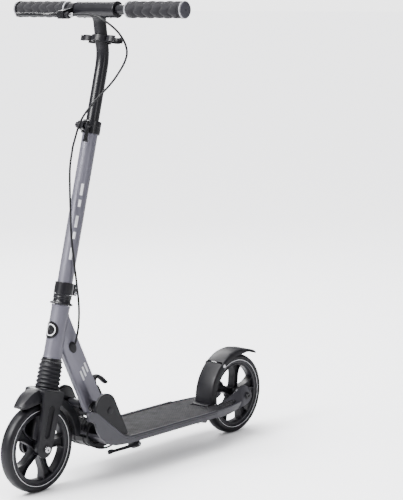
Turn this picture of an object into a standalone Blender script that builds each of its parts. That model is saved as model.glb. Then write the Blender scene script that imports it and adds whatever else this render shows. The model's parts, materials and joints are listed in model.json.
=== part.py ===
"""Folding kick scooter with 200 mm wheels, sprung front fork and a hand brake.

All sizes below are in millimetres and are scaled to metres when a mesh is made.
World frame: +Z up, +X to the rear, the rider's left is -Y. The origin is on the
ground, midway between the two axles.

Shapes are placed through seven datums (empties):
  chassis   on the ground under the front axle, axes as the world
  front hub on the front axle, axes as the world
  column    on the front axle, its Z runs up the steering axis
  kick      on the kickstand's pivot, its Z runs along the pin
  frame     at the foot of the down tube, its Z runs up the tube
  bar       at the middle of the handlebar tee, axes as the world
  rear      on the rear axle, axes as the world
"""

import math

import bmesh
import bpy
from mathutils import Euler, Vector

MM = 0.001
GAP = 0.3

# Driving dimensions
WHEELBASE = 680.0
WHEEL_RADIUS = 100.0
TYRE_HALF_WIDTH = 14.8
HUB_HALF_WIDTH = 17.3
AXLE_RADIUS = 4.0
BEARING_RADIUS = 11.0
LEAN = math.radians(14.38)

HEAD_BOTTOM = 198.4
HEAD_TOP = 318.0
STEM_BOTTOM = 342.0
COLLAR_TOP = 368.5
CLAMP_BOTTOM = 703.3
CLAMP_TOP = 732.7
STEM_TOP = 720.5
BEND_START = 868.0
TEE_BACK = -40.0
TEE_UP = 976.0

STEERER_RADIUS = 15.0
STEM_RADIUS = 17.3
UPPER_RADIUS = 14.5
TEE_RADIUS = 18.5
TEE_HALF_LENGTH = 57.0
HANDLE_RADIUS = 11.0
GRIP_RADIUS = 19.0
GRIP_INNER = 91.0
GRIP_OUTER = 250.7
BAR_HALF_WIDTH = 256.3

FOLD_X = 163.0
FOLD_Z = 163.0
TUBE_TILT = math.radians(26.57)
TUBE_SETBACK = 9.0
TUBE_HALF_DEPTH = 24.0
TUBE_HALF_WIDTH = 17.0

DECK_HALF_WIDTH = 76.0
RAIL_INNER = 69.5
RAIL_TOP = 93.0
RAIL_BOTTOM = 77.0
PLATE_TOP = 88.5
PLATE_BOTTOM = 82.0
MAT_TOP = 91.3

# Colours of the finishes: base colour, roughness, metallic
FINISHES = {
    "frame_grey": ((0.30, 0.30, 0.34), 0.38, 0.85),
    "deck_alloy": ((0.26, 0.26, 0.29), 0.42, 0.9),
    "black_alloy": ((0.025, 0.025, 0.03), 0.35, 0.5),
    "black_plastic": ((0.02, 0.02, 0.024), 0.5, 0.0),
    "grip_rubber": ((0.035, 0.035, 0.042), 0.85, 0.0),
    "tyre_rubber": ((0.02, 0.02, 0.024), 0.6, 0.0),
    "wheel_grey": ((0.05, 0.05, 0.058), 0.45, 0.1),
    "mat_black": ((0.03, 0.03, 0.034), 0.85, 0.0),
    "steel": ((0.55, 0.55, 0.57), 0.25, 1.0),
    "cap_grey": ((0.35, 0.35, 0.38), 0.5, 0.0),
    "cable_black": ((0.015, 0.015, 0.018), 0.4, 0.0),
}


# ---------------------------------------------------------------- tools


def clear_scene():
    for obj in list(bpy.data.objects):
        bpy.data.objects.remove(obj, do_unlink=True)


def finish_material(name):
    found = bpy.data.materials.get(name)
    if found:
        return found
    colour, roughness, metallic = FINISHES[name]
    material = bpy.data.materials.new(name)
    material.use_nodes = True
    shader = material.node_tree.nodes["Principled BSDF"]
    shader.inputs["Base Color"].default_value = (*colour, 1.0)
    shader.inputs["Roughness"].default_value = roughness
    shader.inputs["Metallic"].default_value = metallic
    return material


def datum(name, place, tilt=0.0, parent=None):
    """An empty at a place in millimetres, turned about Y by tilt."""
    empty = bpy.data.objects.new(name, None)
    bpy.context.scene.collection.objects.link(empty)
    empty.location = Vector(place) * MM
    empty.rotation_euler = Euler((0.0, tilt, 0.0))
    empty.parent = parent
    return empty


def add_object(name, data, finish, parent):
    obj = bpy.data.objects.new(name, data)
    bpy.context.scene.collection.objects.link(obj)
    obj.parent = parent
    data.materials.append(finish_material(finish))
    return obj


def mesh_from(name, points, faces):
    """A closed mesh from points in millimetres, its faces turned outwards."""
    mesh = bpy.data.meshes.new(name)
    build = bmesh.new()
    corners = [build.verts.new(Vector(p) * MM) for p in points]
    for face in faces:
        build.faces.new([corners[i] for i in face])
    bmesh.ops.recalc_face_normals(build, faces=build.faces)
    build.to_mesh(mesh)
    build.free()
    mesh.shade_smooth()
    mesh.set_sharp_from_angle(angle=math.radians(35))
    return mesh


def piece(name, points, faces, finish, parent):
    return add_object(name, mesh_from(name, points, faces), finish, parent)


def slab(name, outline, low, high, finish, parent, axis="Y"):
    """An outline of (a, b) points extruded along an axis from low to high."""
    count = len(outline)
    place = {
        "Y": lambda a, b, c: (a, c, b),
        "Z": lambda a, b, c: (a, b, c),
        "X": lambda a, b, c: (c, a, b),
    }[axis]
    points = [place(a, b, low) for a, b in outline] + [place(a, b, high) for a, b in outline]
    faces = [list(range(count)), list(range(2 * count - 1, count - 1, -1))]
    for i in range(count):
        j = (i + 1) % count
        faces.append([i, j, j + count, i + count])
    return piece(name, points, faces, finish, parent)


def box(name, low, high, finish, parent):
    outline = [(low[0], low[1]), (high[0], low[1]), (high[0], high[1]), (low[0], high[1])]
    return slab(name, outline, low[2], high[2], finish, parent, axis="Z")


def turned(name, profile, finish, parent, axis="Z", centre=(0, 0, 0), sides=28, start=0.0):
    """A profile of (radius, height) points turned about an axis.

    The profile is a closed ring, unless its first and last points are on the axis.
    """
    solid = profile[0][0] == 0 and profile[-1][0] == 0
    place = {
        "Z": lambda r, t, h: (r * math.cos(t), r * math.sin(t), h),
        "Y": lambda r, t, h: (r * math.sin(t), h, -r * math.cos(t)),
        "X": lambda r, t, h: (h, r * math.cos(t), r * math.sin(t)),
    }[axis]
    points = []
    rings = []
    for radius, height in profile:
        if radius == 0:
            rings.append([len(points)])
            points.append(place(0, 0, height))
            continue
        ring = []
        for i in range(sides):
            ring.append(len(points))
            points.append(place(radius, start + math.tau * i / sides, height))
        rings.append(ring)
    faces = []
    pairs = list(zip(rings, rings[1:]))
    if not solid:
        pairs.append((rings[-1], rings[0]))
    for lower, upper in pairs:
        for i in range(sides):
            j = (i + 1) % sides
            if len(lower) == 1:
                faces.append([lower[0], upper[i], upper[j]])
            elif len(upper) == 1:
                faces.append([lower[i], lower[j], upper[0]])
            else:
                faces.append([lower[i], lower[j], upper[j], upper[i]])
    points = [tuple(Vector(p) + Vector(centre)) for p in points]
    return piece(name, points, faces, finish, parent)


def rod(name, radius, low, high, finish, parent, axis="Z", centre=(0, 0, 0), sides=20):
    profile = [(0, low), (radius, low), (radius, high), (0, high)]
    return turned(name, profile, finish, parent, axis, centre, sides)


def ring(name, inner, outer, low, high, finish, parent, axis="Z", centre=(0, 0, 0), sides=28):
    profile = [(inner, low), (outer, low), (outer, high), (inner, high)]
    return turned(name, profile, finish, parent, axis, centre, sides)


def swept(name, path, radius, finish, parent, sides=20):
    """A round bar along a path that lies in the XZ plane."""
    points = []
    for i, spot in enumerate(path):
        before = Vector(path[max(i - 1, 0)])
        after = Vector(path[min(i + 1, len(path) - 1)])
        along = (after - before).normalized()
        across = Vector((along.z, 0.0, -along.x))
        for k in range(sides):
            turn = math.tau * k / sides
            offset = across * math.cos(turn) + Vector((0, 1, 0)) * math.sin(turn)
            points.append(tuple(Vector(spot) + offset * radius))
    faces = [list(range(sides)), list(range(len(points) - 1, len(points) - sides - 1, -1))]
    for i in range(len(path) - 1):
        for k in range(sides):
            j = (k + 1) % sides
            faces.append([i * sides + k, i * sides + j, (i + 1) * sides + j, (i + 1) * sides + k])
    return piece(name, points, faces, finish, parent)


def smooth_route(points, step):
    """Points about every step millimetres on a Catmull-Rom curve through the given ones."""
    spots = [Vector(p) for p in points]
    spots = [2 * spots[0] - spots[1]] + spots + [2 * spots[-1] - spots[-2]]
    route = []
    for a, b, c, d in zip(spots, spots[1:], spots[2:], spots[3:]):
        count = max(1, round((c - b).length / step))
        for i in range(count):
            t = i / count
            route.append(
                0.5 * (2 * b + (c - a) * t + (2 * a - 5 * b + 4 * c - d) * t**2)
                + 0.5 * (3 * b - a - 3 * c + d) * t**3
            )
    return route + [spots[-2]]


def cable(name, route, radius, finish, parent, resolution=2):
    """A round cord through a route, as a bevelled curve with filled caps."""
    data = bpy.data.curves.new(name, "CURVE")
    data.dimensions = "3D"
    data.bevel_depth = radius * MM
    data.bevel_resolution = resolution
    data.use_fill_caps = True
    spline = data.splines.new("POLY")
    spline.points.add(len(route) - 1)
    for point, spot in zip(spline.points, route):
        point.co = (*(Vector(spot) * MM), 1.0)
    return add_object(name, data, finish, parent)


def combine(target, operation, *others):
    """Adds Boolean modifiers to the target and turns the other objects into helpers."""
    for other in others:
        modifier = target.modifiers.new(f"{operation.lower()}_{other.name}", "BOOLEAN")
        modifier.operation = operation
        modifier.object = other
        other.hide_render = True
        other.display_type = "WIRE"


def unite(target, *others):
    combine(target, "UNION", *others)


def cut(target, *others):
    combine(target, "DIFFERENCE", *others)


def arc(centre, radius, start, end, steps):
    """Points on a circle, its angles in degrees from straight up towards the rear."""
    found = []
    for i in range(steps + 1):
        turn = math.radians(start + (end - start) * i / steps)
        found.append((centre[0] + radius * math.sin(turn), centre[1] + radius * math.cos(turn)))
    return found


def mirrored(name, side):
    return f"{name}_left" if side < 0 else f"{name}_right"


def span(side, near, far):
    """The low and high ends of a stretch from near to far on one side of the middle plane."""
    return (side * far, side * near) if side < 0 else (near, far)


# ---------------------------------------------------------------- wheels

SPOKES = 5
WHEEL_SIDES = 44
RIM_INNER = 72.0
TYRE_INNER = 82.3


def wheel(prefix, place):
    """Tyre, cast wheel and two ball bearings, on the axle of a datum."""
    tyre_side = [(TYRE_INNER, 12.5), (91, TYRE_HALF_WIDTH), (97.5, 10.5), (WHEEL_RADIUS, 3.5)]
    profile = [(r, -y) for r, y in tyre_side] + [(r, y) for r, y in reversed(tyre_side)]
    turned(f"{prefix}_tyre", profile, "tyre_rubber", place, axis="Y", sides=WHEEL_SIDES)

    rim = [(RIM_INNER, -11), (82, -12.2), (82, 12.2), (RIM_INNER, 11)]
    core = turned(f"{prefix}_wheel_core", rim, "wheel_grey", place, axis="Y", sides=WHEEL_SIDES)
    seat = BEARING_RADIUS + GAP
    hub_side = [(16.5, HUB_HALF_WIDTH), (seat, HUB_HALF_WIDTH), (seat, 9.7), (8, 9.7)]
    hub = [(r, -y) for r, y in reversed(hub_side)] + hub_side
    unite(core, turned(f"{prefix}_hub_shape", hub, "wheel_grey", place, axis="Y", sides=24))
    for i in range(SPOKES):
        turn = math.tau * i / SPOKES
        outline = []
        for across, out in ((-9, 14), (9, 14), (10.5, 74), (-10.5, 74)):
            x = across * math.cos(turn) + out * math.sin(turn)
            z = out * math.cos(turn) - across * math.sin(turn)
            outline.append((x, z))
        unite(core, slab(f"{prefix}_spoke_shape_{i}", outline, -8, 8, "wheel_grey", place))

    for side in (-1, 1):
        low, high = span(side, 10, 17)
        name = mirrored(f"{prefix}_bearing", side)
        ring(name, AXLE_RADIUS + GAP, BEARING_RADIUS, low, high, "steel", place, axis="Y", sides=18)


def axle_bolt(name, reach, head, place, collar=None):
    """A bolt through a wheel, its heads outside the fork, with spacer collars if asked."""
    profile = [(0, reach + head), (7.5, reach + head), (7.5, reach), (AXLE_RADIUS, reach)]
    if collar:
        profile += [(AXLE_RADIUS, collar[1]), (7, collar[1]), (7, collar[0]), (AXLE_RADIUS, collar[0])]
    profile += [(r, -y) for r, y in reversed(profile)]
    turned(name, list(reversed(profile)), "steel", place, axis="Y", sides=14)


# ---------------------------------------------------------------- fork and suspension

CROWN_BOTTOM = 118.3
CROWN_TOP = 131.0
LEG_INNER = 19.5
LEG_OUTER = 25.0
COVER_OUTER = 31.5
SLIDER_TOP = 262.0
BELLOWS_TOP = 189.4
PLEATS = 5


def leg_outline(edge, top):
    """The side outline of a fork leg: a tapered blade with a round lower end."""
    low_end = arc((-5, 2), 20 + edge, 95, 265, 10)
    return [(-31 - edge, top)] + [(20 + edge, top)] + low_end


def fork(column):
    crown_side = [(-36, CROWN_BOTTOM), (26, CROWN_BOTTOM), (26, 125), (18, CROWN_TOP)]
    crown_side += [(-26, CROWN_TOP), (-36, 125)]
    crown = slab("fork_crown_and_legs", crown_side, -COVER_OUTER, COVER_OUTER, "black_alloy", column)
    for side in (-1, 1):
        low, high = span(side, LEG_INNER, LEG_OUTER)
        outline = leg_outline(0, CROWN_BOTTOM + 4)
        unite(crown, slab(mirrored("leg_shape", side), outline, low, high, "black_alloy", column))
    unite(crown, rod("slider_shape", STEERER_RADIUS - 3.1, 128, SLIDER_TOP, "black_alloy", column))
    hole = rod("axle_hole", AXLE_RADIUS + GAP, -60, 60, "black_alloy", column, axis="Y")
    cut(crown, hole)
    for side in (-1, 1):
        low, high = span(side, LEG_OUTER + GAP, COVER_OUTER)
        name = mirrored("fork_cover", side)
        cover = slab(name, leg_outline(2, CROWN_BOTTOM - GAP), low, high, "black_plastic", column)
        cut(cover, hole)
        window = arc((-4, 88), 8, -90, 90, 8) + arc((-7, 34), 8, 90, 270, 8)
        low, high = span(side, COVER_OUTER - 1.5, COVER_OUTER + 2)
        cut(cover, slab(f"{name}_window", window, low, high, "black_plastic", column))
    axle_bolt("front_axle_bolt", COVER_OUTER + GAP, 4.2, column)


def suspension(column):
    profile = [(21.5, CROWN_TOP + 0.4)]
    step = (BELLOWS_TOP - CROWN_TOP - 0.4) / PLEATS
    for i in range(PLEATS):
        low = CROWN_TOP + 0.4 + i * step
        profile += [(24.0, low + (0.1 if i else 0)), (27.5, low + step / 2)]
    profile += [(24.0, BELLOWS_TOP), (21.5, BELLOWS_TOP)]
    turned("suspension_bellows", profile, "black_plastic", column, sides=24)

    turns, per_turn, radius = 4, 10, 17.5
    low, high = CROWN_TOP + 2.4, 184.0
    route = []
    for i in range(turns * per_turn + 1):
        turn = math.tau * i / per_turn
        height = low + (high - low) * i / (turns * per_turn)
        route.append((radius * math.cos(turn), radius * math.sin(turn), height))
    cable("suspension_spring", route, 1.9, "steel", column, resolution=1)


def front_fender(column):
    """A crescent over the wheel with side skirts, cut to pass between the fork legs."""
    outer = arc((0, 0), 116, -46, 40, 14) + arc((0, 0), 112, 48, 62, 3)
    inner = arc((0, 0), 108, 62, 48, 3) + arc((0, 0), 112, 40, -46, 14)
    top = slab("front_fender", outer + inner, -18.8, 18.8, "black_plastic", column)
    for side in (-1, 1):
        outline = outer + arc((0, 0), 99, 62, -40, 16)
        low, high = span(side, 16.6, 18.8)
        unite(top, slab(mirrored("fender_skirt", side), outline, low, high, "black_plastic", column))


# ---------------------------------------------------------------- steering column


def steering(column):
    flange = [(12.3, 186.2), (19.5, 186.2), (19.5, 189.4), (STEERER_RADIUS, 189.4)]
    flange += [(STEERER_RADIUS, 372), (12.3, 372)]
    turned("steerer_tube", flange, "steel", column, sides=28)
    inner = STEERER_RADIUS + GAP
    ring("lower_stem_tube", inner, STEM_RADIUS, STEM_BOTTOM, STEM_TOP, "frame_grey", column)

    bore = STEM_RADIUS + GAP
    collar = ring("stem_clamp_collar", bore, 21.2, STEM_BOTTOM, COLLAR_TOP, "black_alloy", column)
    ears = box("collar_ears", (19, -9, STEM_BOTTOM), (34, 9, COLLAR_TOP), "black_alloy", column)
    slit = box("collar_slit", (16, -1.2, STEM_BOTTOM - 1), (36, 1.2, COLLAR_TOP + 1), "black_alloy", column)
    unite(collar, ears)
    cut(collar, slit)
    for label, height in (("lower", STEM_BOTTOM + 6.5), ("upper", COLLAR_TOP - 6.5)):
        spot = (28, 0, height)
        cut(collar, rod(f"collar_hole_{label}", 2.8, -12, 12, "steel", column, axis="Y", centre=spot))
        bolt = [(0, -12.5), (4.5, -12.5), (4.5, -9.3), (2.5, -9.3), (2.5, 11), (0, 11)]
        turned(f"collar_bolt_{label}", bolt, "steel", column, axis="Y", centre=spot, sides=16)

    inner = STEERER_RADIUS + 0.4
    profile = [(inner, HEAD_TOP + GAP), (24, HEAD_TOP + GAP), (26, HEAD_TOP + 3), (24, HEAD_TOP + 5.5)]
    profile += [(20.5, HEAD_TOP + 7), (19.5, STEM_BOTTOM - 6)]
    profile += [(20.8, STEM_BOTTOM - GAP), (inner, STEM_BOTTOM - GAP)]
    top = turned("headset_ring", profile, "black_alloy", column)
    low, high = HEAD_TOP + 1, HEAD_TOP + 5
    unite(top, box("headset_ears", (-5, -30, low), (5, -22, high), "black_alloy", column))
    unite(top, box("headset_ears_far", (-5, 22, low), (5, 30, high), "black_alloy", column))


CAM_SIDE = -14.8


def quick_clamp(column):
    step = STEM_TOP + GAP
    outer = STEM_RADIUS + GAP
    profile = [(outer, CLAMP_BOTTOM), (21.3, CLAMP_BOTTOM), (21.3, CLAMP_TOP)]
    profile += [(UPPER_RADIUS + GAP, CLAMP_TOP), (UPPER_RADIUS + GAP, step), (outer, step)]
    clamp = turned("quick_clamp", profile, "black_alloy", column)
    ears = box("clamp_ears", (-36, -9, 708), (-19, 9, 728), "black_alloy", column)
    slit = box("clamp_slit", (-38, -1.4, 700), (-14, 1.4, 735), "black_alloy", column)
    hole = rod("clamp_hole", 3.3, -12, 12, "steel", column, axis="Y", centre=(-28, 0, 718))
    unite(clamp, ears)
    cut(clamp, slit, hole)

    spot = (-28, 0, 718)
    skewer_side = [(0, CAM_SIDE - 2), (2.6, CAM_SIDE - 2), (2.6, 9.4)]
    skewer_side += [(7.5, 9.4), (7.5, 17), (6, 21), (0, 21)]
    skewer = turned("quick_release_skewer", skewer_side, "black_alloy", column, "Y", spot, 20)
    pin = (-28, CAM_SIDE, 718)
    unite(skewer, rod("cam_pin_shape", 2.0, -6.4, 6.4, "steel", column, "X", pin, 12))
    cam = rod("quick_release_lever", 5.4, -6, 6, "black_alloy", column, "X", pin, 20)
    blade = [(CAM_SIDE - 2, 716), (CAM_SIDE + 2, 716), (CAM_SIDE + 1, 685), (CAM_SIDE - 3, 685)]
    unite(cam, slab("lever_blade", blade, -32.5, -23.5, "black_alloy", column, "X"))
    unite(cam, rod("lever_tip", 3.2, -6, 6, "black_alloy", column, "X", (-28, CAM_SIDE - 1.2, 684), 16))
    cut(cam, box("cam_slot", (-31.2, CAM_SIDE - 3.8, 714.2), (-24.8, CAM_SIDE + 9, 726), "steel", column))
    cut(cam, rod("cam_pin_hole", 2.3, -9, 9, "steel", column, "X", pin, 16))


# ---------------------------------------------------------------- handlebar


def upper_column(column):
    path = [(0, 0, 560), (0, 0, 700), (0, 0, BEND_START - 20)]
    bend = [Vector((0, 0, BEND_START - 20)), Vector((0, 0, BEND_START + 16)), Vector((-10, 0, 903))]
    for i in range(1, 7):
        t = i / 6
        path.append(tuple((1 - t) ** 2 * bend[0] + 2 * t * (1 - t) * bend[1] + t**2 * bend[2]))
    path.append((TEE_BACK + 0.5, 0, TEE_UP - 1))
    upper = swept("upper_tube_and_tee", path, UPPER_RADIUS, "black_alloy", column)
    spot = (TEE_BACK, 0, TEE_UP)
    half = TEE_HALF_LENGTH
    unite(upper, rod("tee_shape", TEE_RADIUS, -half, half, "black_alloy", column, "Y", spot, 32))
    cut(upper, rod("tee_bore", HANDLE_RADIUS + 0.4, -half - 5, half + 5, "black_alloy", column, "Y", spot))
    cut(upper, rod("column_bore", 12.3, 550, 830, "black_alloy", column))
    for side in (-1, 1):
        hole = mirrored("button_hole", side)
        spot = (TEE_BACK, side * 40, TEE_UP)
        cut(upper, rod(hole, 4.3, -24, -8, "black_alloy", column, "Z", spot, 16))
        name = mirrored("handle_button", side)
        rod(name, 4.0, -20.4, -13.9, "steel", column, "Z", spot, 16)


def grip_clips(column):
    """A ring round the upper tube with a C-clip on each side for a folded handle."""
    low, high = 908, 922
    centre = -14.0
    middle = (centre, 0, 0)
    bore = UPPER_RADIUS + 4.9
    clips = ring("grip_clip_bracket", bore, 23, low, high, "black_plastic", column, centre=middle)
    for side in (-1, 1):
        outline = []
        for radius, turns in ((16.5, range(-140, 141, 20)), (12.5, range(140, -141, -20))):
            for turn in turns:
                angle = math.radians(turn)
                outline.append((centre + radius * math.sin(angle), side * (36 - radius * math.cos(angle))))
        clip = slab(mirrored("clip_shape", side), outline, low, high, "black_plastic", column, "Z")
        unite(clips, clip)


def handles(bar):
    for side in (-1, 1):
        low, high = span(side, 5, 250)
        name = mirrored("handle_tube", side)
        ring(name, 9.2, HANDLE_RADIUS, low, high, "black_alloy", bar, axis="Y", sides=28)
        near, far = GRIP_INNER, GRIP_OUTER
        inner = HANDLE_RADIUS + GAP
        profile = [(inner, near), (17.5, near), (GRIP_RADIUS, near + 2), (GRIP_RADIUS, far - 2)]
        profile += [(18.0, far), (inner, far)]
        profile = [(r, side * y) for r, y in profile]
        turned(mirrored("grip", side), profile, "grip_rubber", bar, axis="Y", sides=28)
        cap = [(0, 238), (8.8, 238), (8.8, 251), (18.6, 251), (19, 252.5), (18.4, BAR_HALF_WIDTH)]
        cap = [(r, side * y) for r, y in cap + [(0, BAR_HALF_WIDTH)]]
        turned(mirrored("grip_cap", side), cap, "cap_grey", bar, axis="Y", sides=28)


LEVER_PIVOT = (-36.0, 76.0)
LEVER_LOW = -17.0
LEVER_HIGH = -7.0


def brake_lever(bar):
    inner = HANDLE_RADIUS + GAP
    perch = rod("brake_perch", 15.5, 66.5, 85.5, "black_plastic", bar, axis="Y")
    arm = [(-44, LEVER_LOW - 4), (-22, LEVER_LOW - 4), (-10, -12.5), (-10, 4), (-30, LEVER_HIGH + 4)]
    arm.append((-44, LEVER_HIGH + 4))
    unite(perch, slab("perch_arm", arm, 67, 85, "black_plastic", bar))
    nose = [(-42, LEVER_LOW), (-28, LEVER_LOW), (-28, LEVER_HIGH), (-42, LEVER_HIGH)]
    unite(perch, slab("perch_nose", nose, 57, 68, "black_plastic", bar))
    cut(perch, rod("perch_bore", inner, 60, 90, "black_plastic", bar, axis="Y", sides=32))
    low, high = LEVER_LOW - GAP, LEVER_HIGH + GAP
    cut(perch, box("lever_slot", (-50, 69.6, low), (-17.5, 90, high), "black_plastic", bar))
    spot = (*LEVER_PIVOT, 0)
    cut(perch, rod("perch_pin_hole", 2.3, -40, 0, "steel", bar, "Z", spot, 16))
    rod("brake_lever_pin", 2.0, LEVER_LOW - 4.6, LEVER_HIGH + 4.6, "steel", bar, "Z", spot, 16)

    x, y = LEVER_PIVOT
    outline = [(x - 6, y - 4), (x + 6, y - 4), (x + 5, y + 12), (x, y + 24), (x - 9, y + 60)]
    outline += [(x - 12, y + 100), (x - 11, y + 130), (x - 14, y + 134), (x - 18, y + 131)]
    outline += [(x - 19, y + 100), (x - 16.5, y + 60), (x - 8, y + 20)]
    lever = slab("brake_lever", outline, LEVER_LOW, LEVER_HIGH, "black_alloy", bar, axis="Z")
    cut(lever, rod("lever_pin_hole", 2.3, -40, 0, "steel", bar, "Z", spot, 16))

    adjuster = [(1.6, 44), (4.2, 44), (4.2, 52), (3.4, 53), (3.4, 56.7), (1.6, 56.7)]
    turned("barrel_adjuster", adjuster, "steel", bar, "Y", (-35, 0, -12), 16)


def brake_cables(column, chassis):
    """The outer cable in three lengths, parted where the bars slide, steer and fold."""
    upper = [(-71, 43.3, 956), (-76, -7, 955), (-73, -47, 947), (-48, -85, 919), (-24, -93, 880)]
    upper += [(-26, -71, 825), (-40, -35, 769), (-46, -10, 724), (-47, 0, 667)]
    cable("brake_cable_upper", smooth_route(upper, 13), 2.4, "cable_black", column)
    lower = [(-47, 0, 666.5), (-46, -1, 621), (-38, -4, 573), (-30, -10, 523), (-24, -19, 471)]
    lower += [(-9, -24, 421), (9, -27, 371), (25, -29, 326), (37, -27, 284), (41, -24.5, 246)]
    cable("brake_cable_lower", smooth_route(lower, 14), 2.4, "cable_black", column)
    under = [(152, -24, 134), (138, -31, 128), (127, -34, 116), (124, -34, 104)]
    under += [(130, -34, 91), (144, -34, 78)]
    under += [(162, -33, 70), (182, -31, 66), (208, -26, 65), (240, -16, 69), (290, -6, 72), (420, 0, 72)]
    under += [(500, 0, 66), (545, 0, 54)]
    cable("brake_cable_under", smooth_route(under, 14), 2.2, "cable_black", chassis)


# ---------------------------------------------------------------- front frame

RELEASE_PIVOT = (29.6, 2.0)


def main_frame(column, frame):
    head = ring("main_frame", 16, 20.2, HEAD_BOTTOM, HEAD_TOP, "frame_grey", column)
    depth, width = TUBE_HALF_DEPTH, TUBE_HALF_WIDTH
    edge = 6.0
    section = []
    for x, y, first in ((1, 1, 0), (-1, 1, 90), (-1, -1, 180), (1, -1, 270)):
        for turn in (0, 45, 90):
            angle = math.radians(first + turn)
            corner = (x * (depth - edge), y * (width - edge))
            section.append((corner[0] + edge * math.cos(angle), corner[1] + edge * math.sin(angle)))
    tube = slab("down_tube_shape", section, -17, 270, "frame_grey", frame, axis="Z")
    beyond = box("beyond_head", (-80, -40, 150), (0, 40, 420), "frame_grey", column)
    cut(tube, beyond)
    unite(head, tube)
    bore = rod("head_bore", 16, 150, 360, "frame_grey", column, sides=32)
    hollow = [(x * 0.88, y * 0.84) for x, y in section]
    cut(head, bore, slab("tube_hollow", hollow, -30, 168, "frame_grey", frame, axis="Z"))
    pivot = (RELEASE_PIVOT[0], 0, RELEASE_PIVOT[1])
    for side in (-1, 1):
        low, high = span(side, 9.3, 12.8)
        lug = [(22, -7), (31, -5), (35.5, 2), (31, 9), (22, 11)]
        unite(head, slab(mirrored("release_lug", side), lug, low, high, "frame_grey", frame))
    cut(head, rod("release_hole", 2.8, -15, 15, "steel", frame, "Y", pivot, 12))
    pivot = (-TUBE_SETBACK, 0, 0)
    cut(head, rod("barrel_hole", 11.35, -30, 30, "frame_grey", frame, "Y", pivot))
    ring("fold_hinge_barrel", 5.4, 11, -57, 57, "black_alloy", frame, "Y", pivot, 24)

    inner = STEERER_RADIUS + 0.4
    profile = [(inner, 189.8), (24, 189.8), (25, 192), (22.5, HEAD_BOTTOM - GAP), (inner, HEAD_BOTTOM - GAP)]
    turned("headset_lower_cup", profile, "black_alloy", column)

    badge = ring("head_badge", 20.5, 22, 240, 280, "cap_grey", column, sides=48)
    disc = rod("badge_disc", 17, -30, 0, "cap_grey", column, "X", (0, 0, 260), 32)
    combine(badge, "INTERSECT", disc)
    turns = [math.tau * k / 24 for k in range(24)]
    oval = [(9.5 * math.cos(turn) - 2, 14 * math.sin(turn) + 163) for turn in turns]
    low, high = span(-1, TUBE_HALF_WIDTH + GAP, TUBE_HALF_WIDTH + 4.5)
    slab("cable_grommet", oval, low, high, "black_plastic", frame)


def fold_release(frame):
    """The finger hook on the back of the down tube that frees the fold."""
    outline = arc(RELEASE_PIVOT, 4.9, 90, 270, 6) + [(24.6, 52), (32, 53), (45, 47), (57, 36), (63, 20)]
    outline += [(61, 14), (56, 17), (50, 33), (40, 40), (33, 40), (31, 30), (34, 10)]
    lever = slab("fold_release_lever", outline, -9, 9, "black_plastic", frame)
    pivot = (RELEASE_PIVOT[0], 0, RELEASE_PIVOT[1])
    unite(lever, rod("release_trunnion", 2.5, -12.6, 12.6, "steel", frame, "Y", pivot, 12))


# ---------------------------------------------------------------- deck

RAIL_UPPER = [(84, 167), (91, 172), (103, 172), (122, 162), (142, 145), (170, 124), (197, 103)]
RAIL_UPPER += [(212, 95.5), (228, RAIL_TOP), (530, RAIL_TOP)]
RAIL_LOWER = [(530, RAIL_BOTTOM), (235, RAIL_BOTTOM), (200, 78.5), (170, 82), (152, 88), (138, 96)]
RAIL_LOWER += [(124, 107), (115, 123), (106, 144), (88, 151)]
NOSE = [(130, 106), (140, 95), (155, 86), (175, 81.5), (205, 81.5), (205, 88.5), (178, 88.5)]
NOSE += [(160, 93), (146, 101), (136, 111)]
TINE_SIDE = [(608, 82), (608, 77), (650, 76), (682, 80), (696, 91), (699, 106), (690, 119)]
TINE_SIDE += [(668, 127), (640, 121), (608, 105)]
TINE_INNER = 44.0
TINE_OUTER = 50.0


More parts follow.
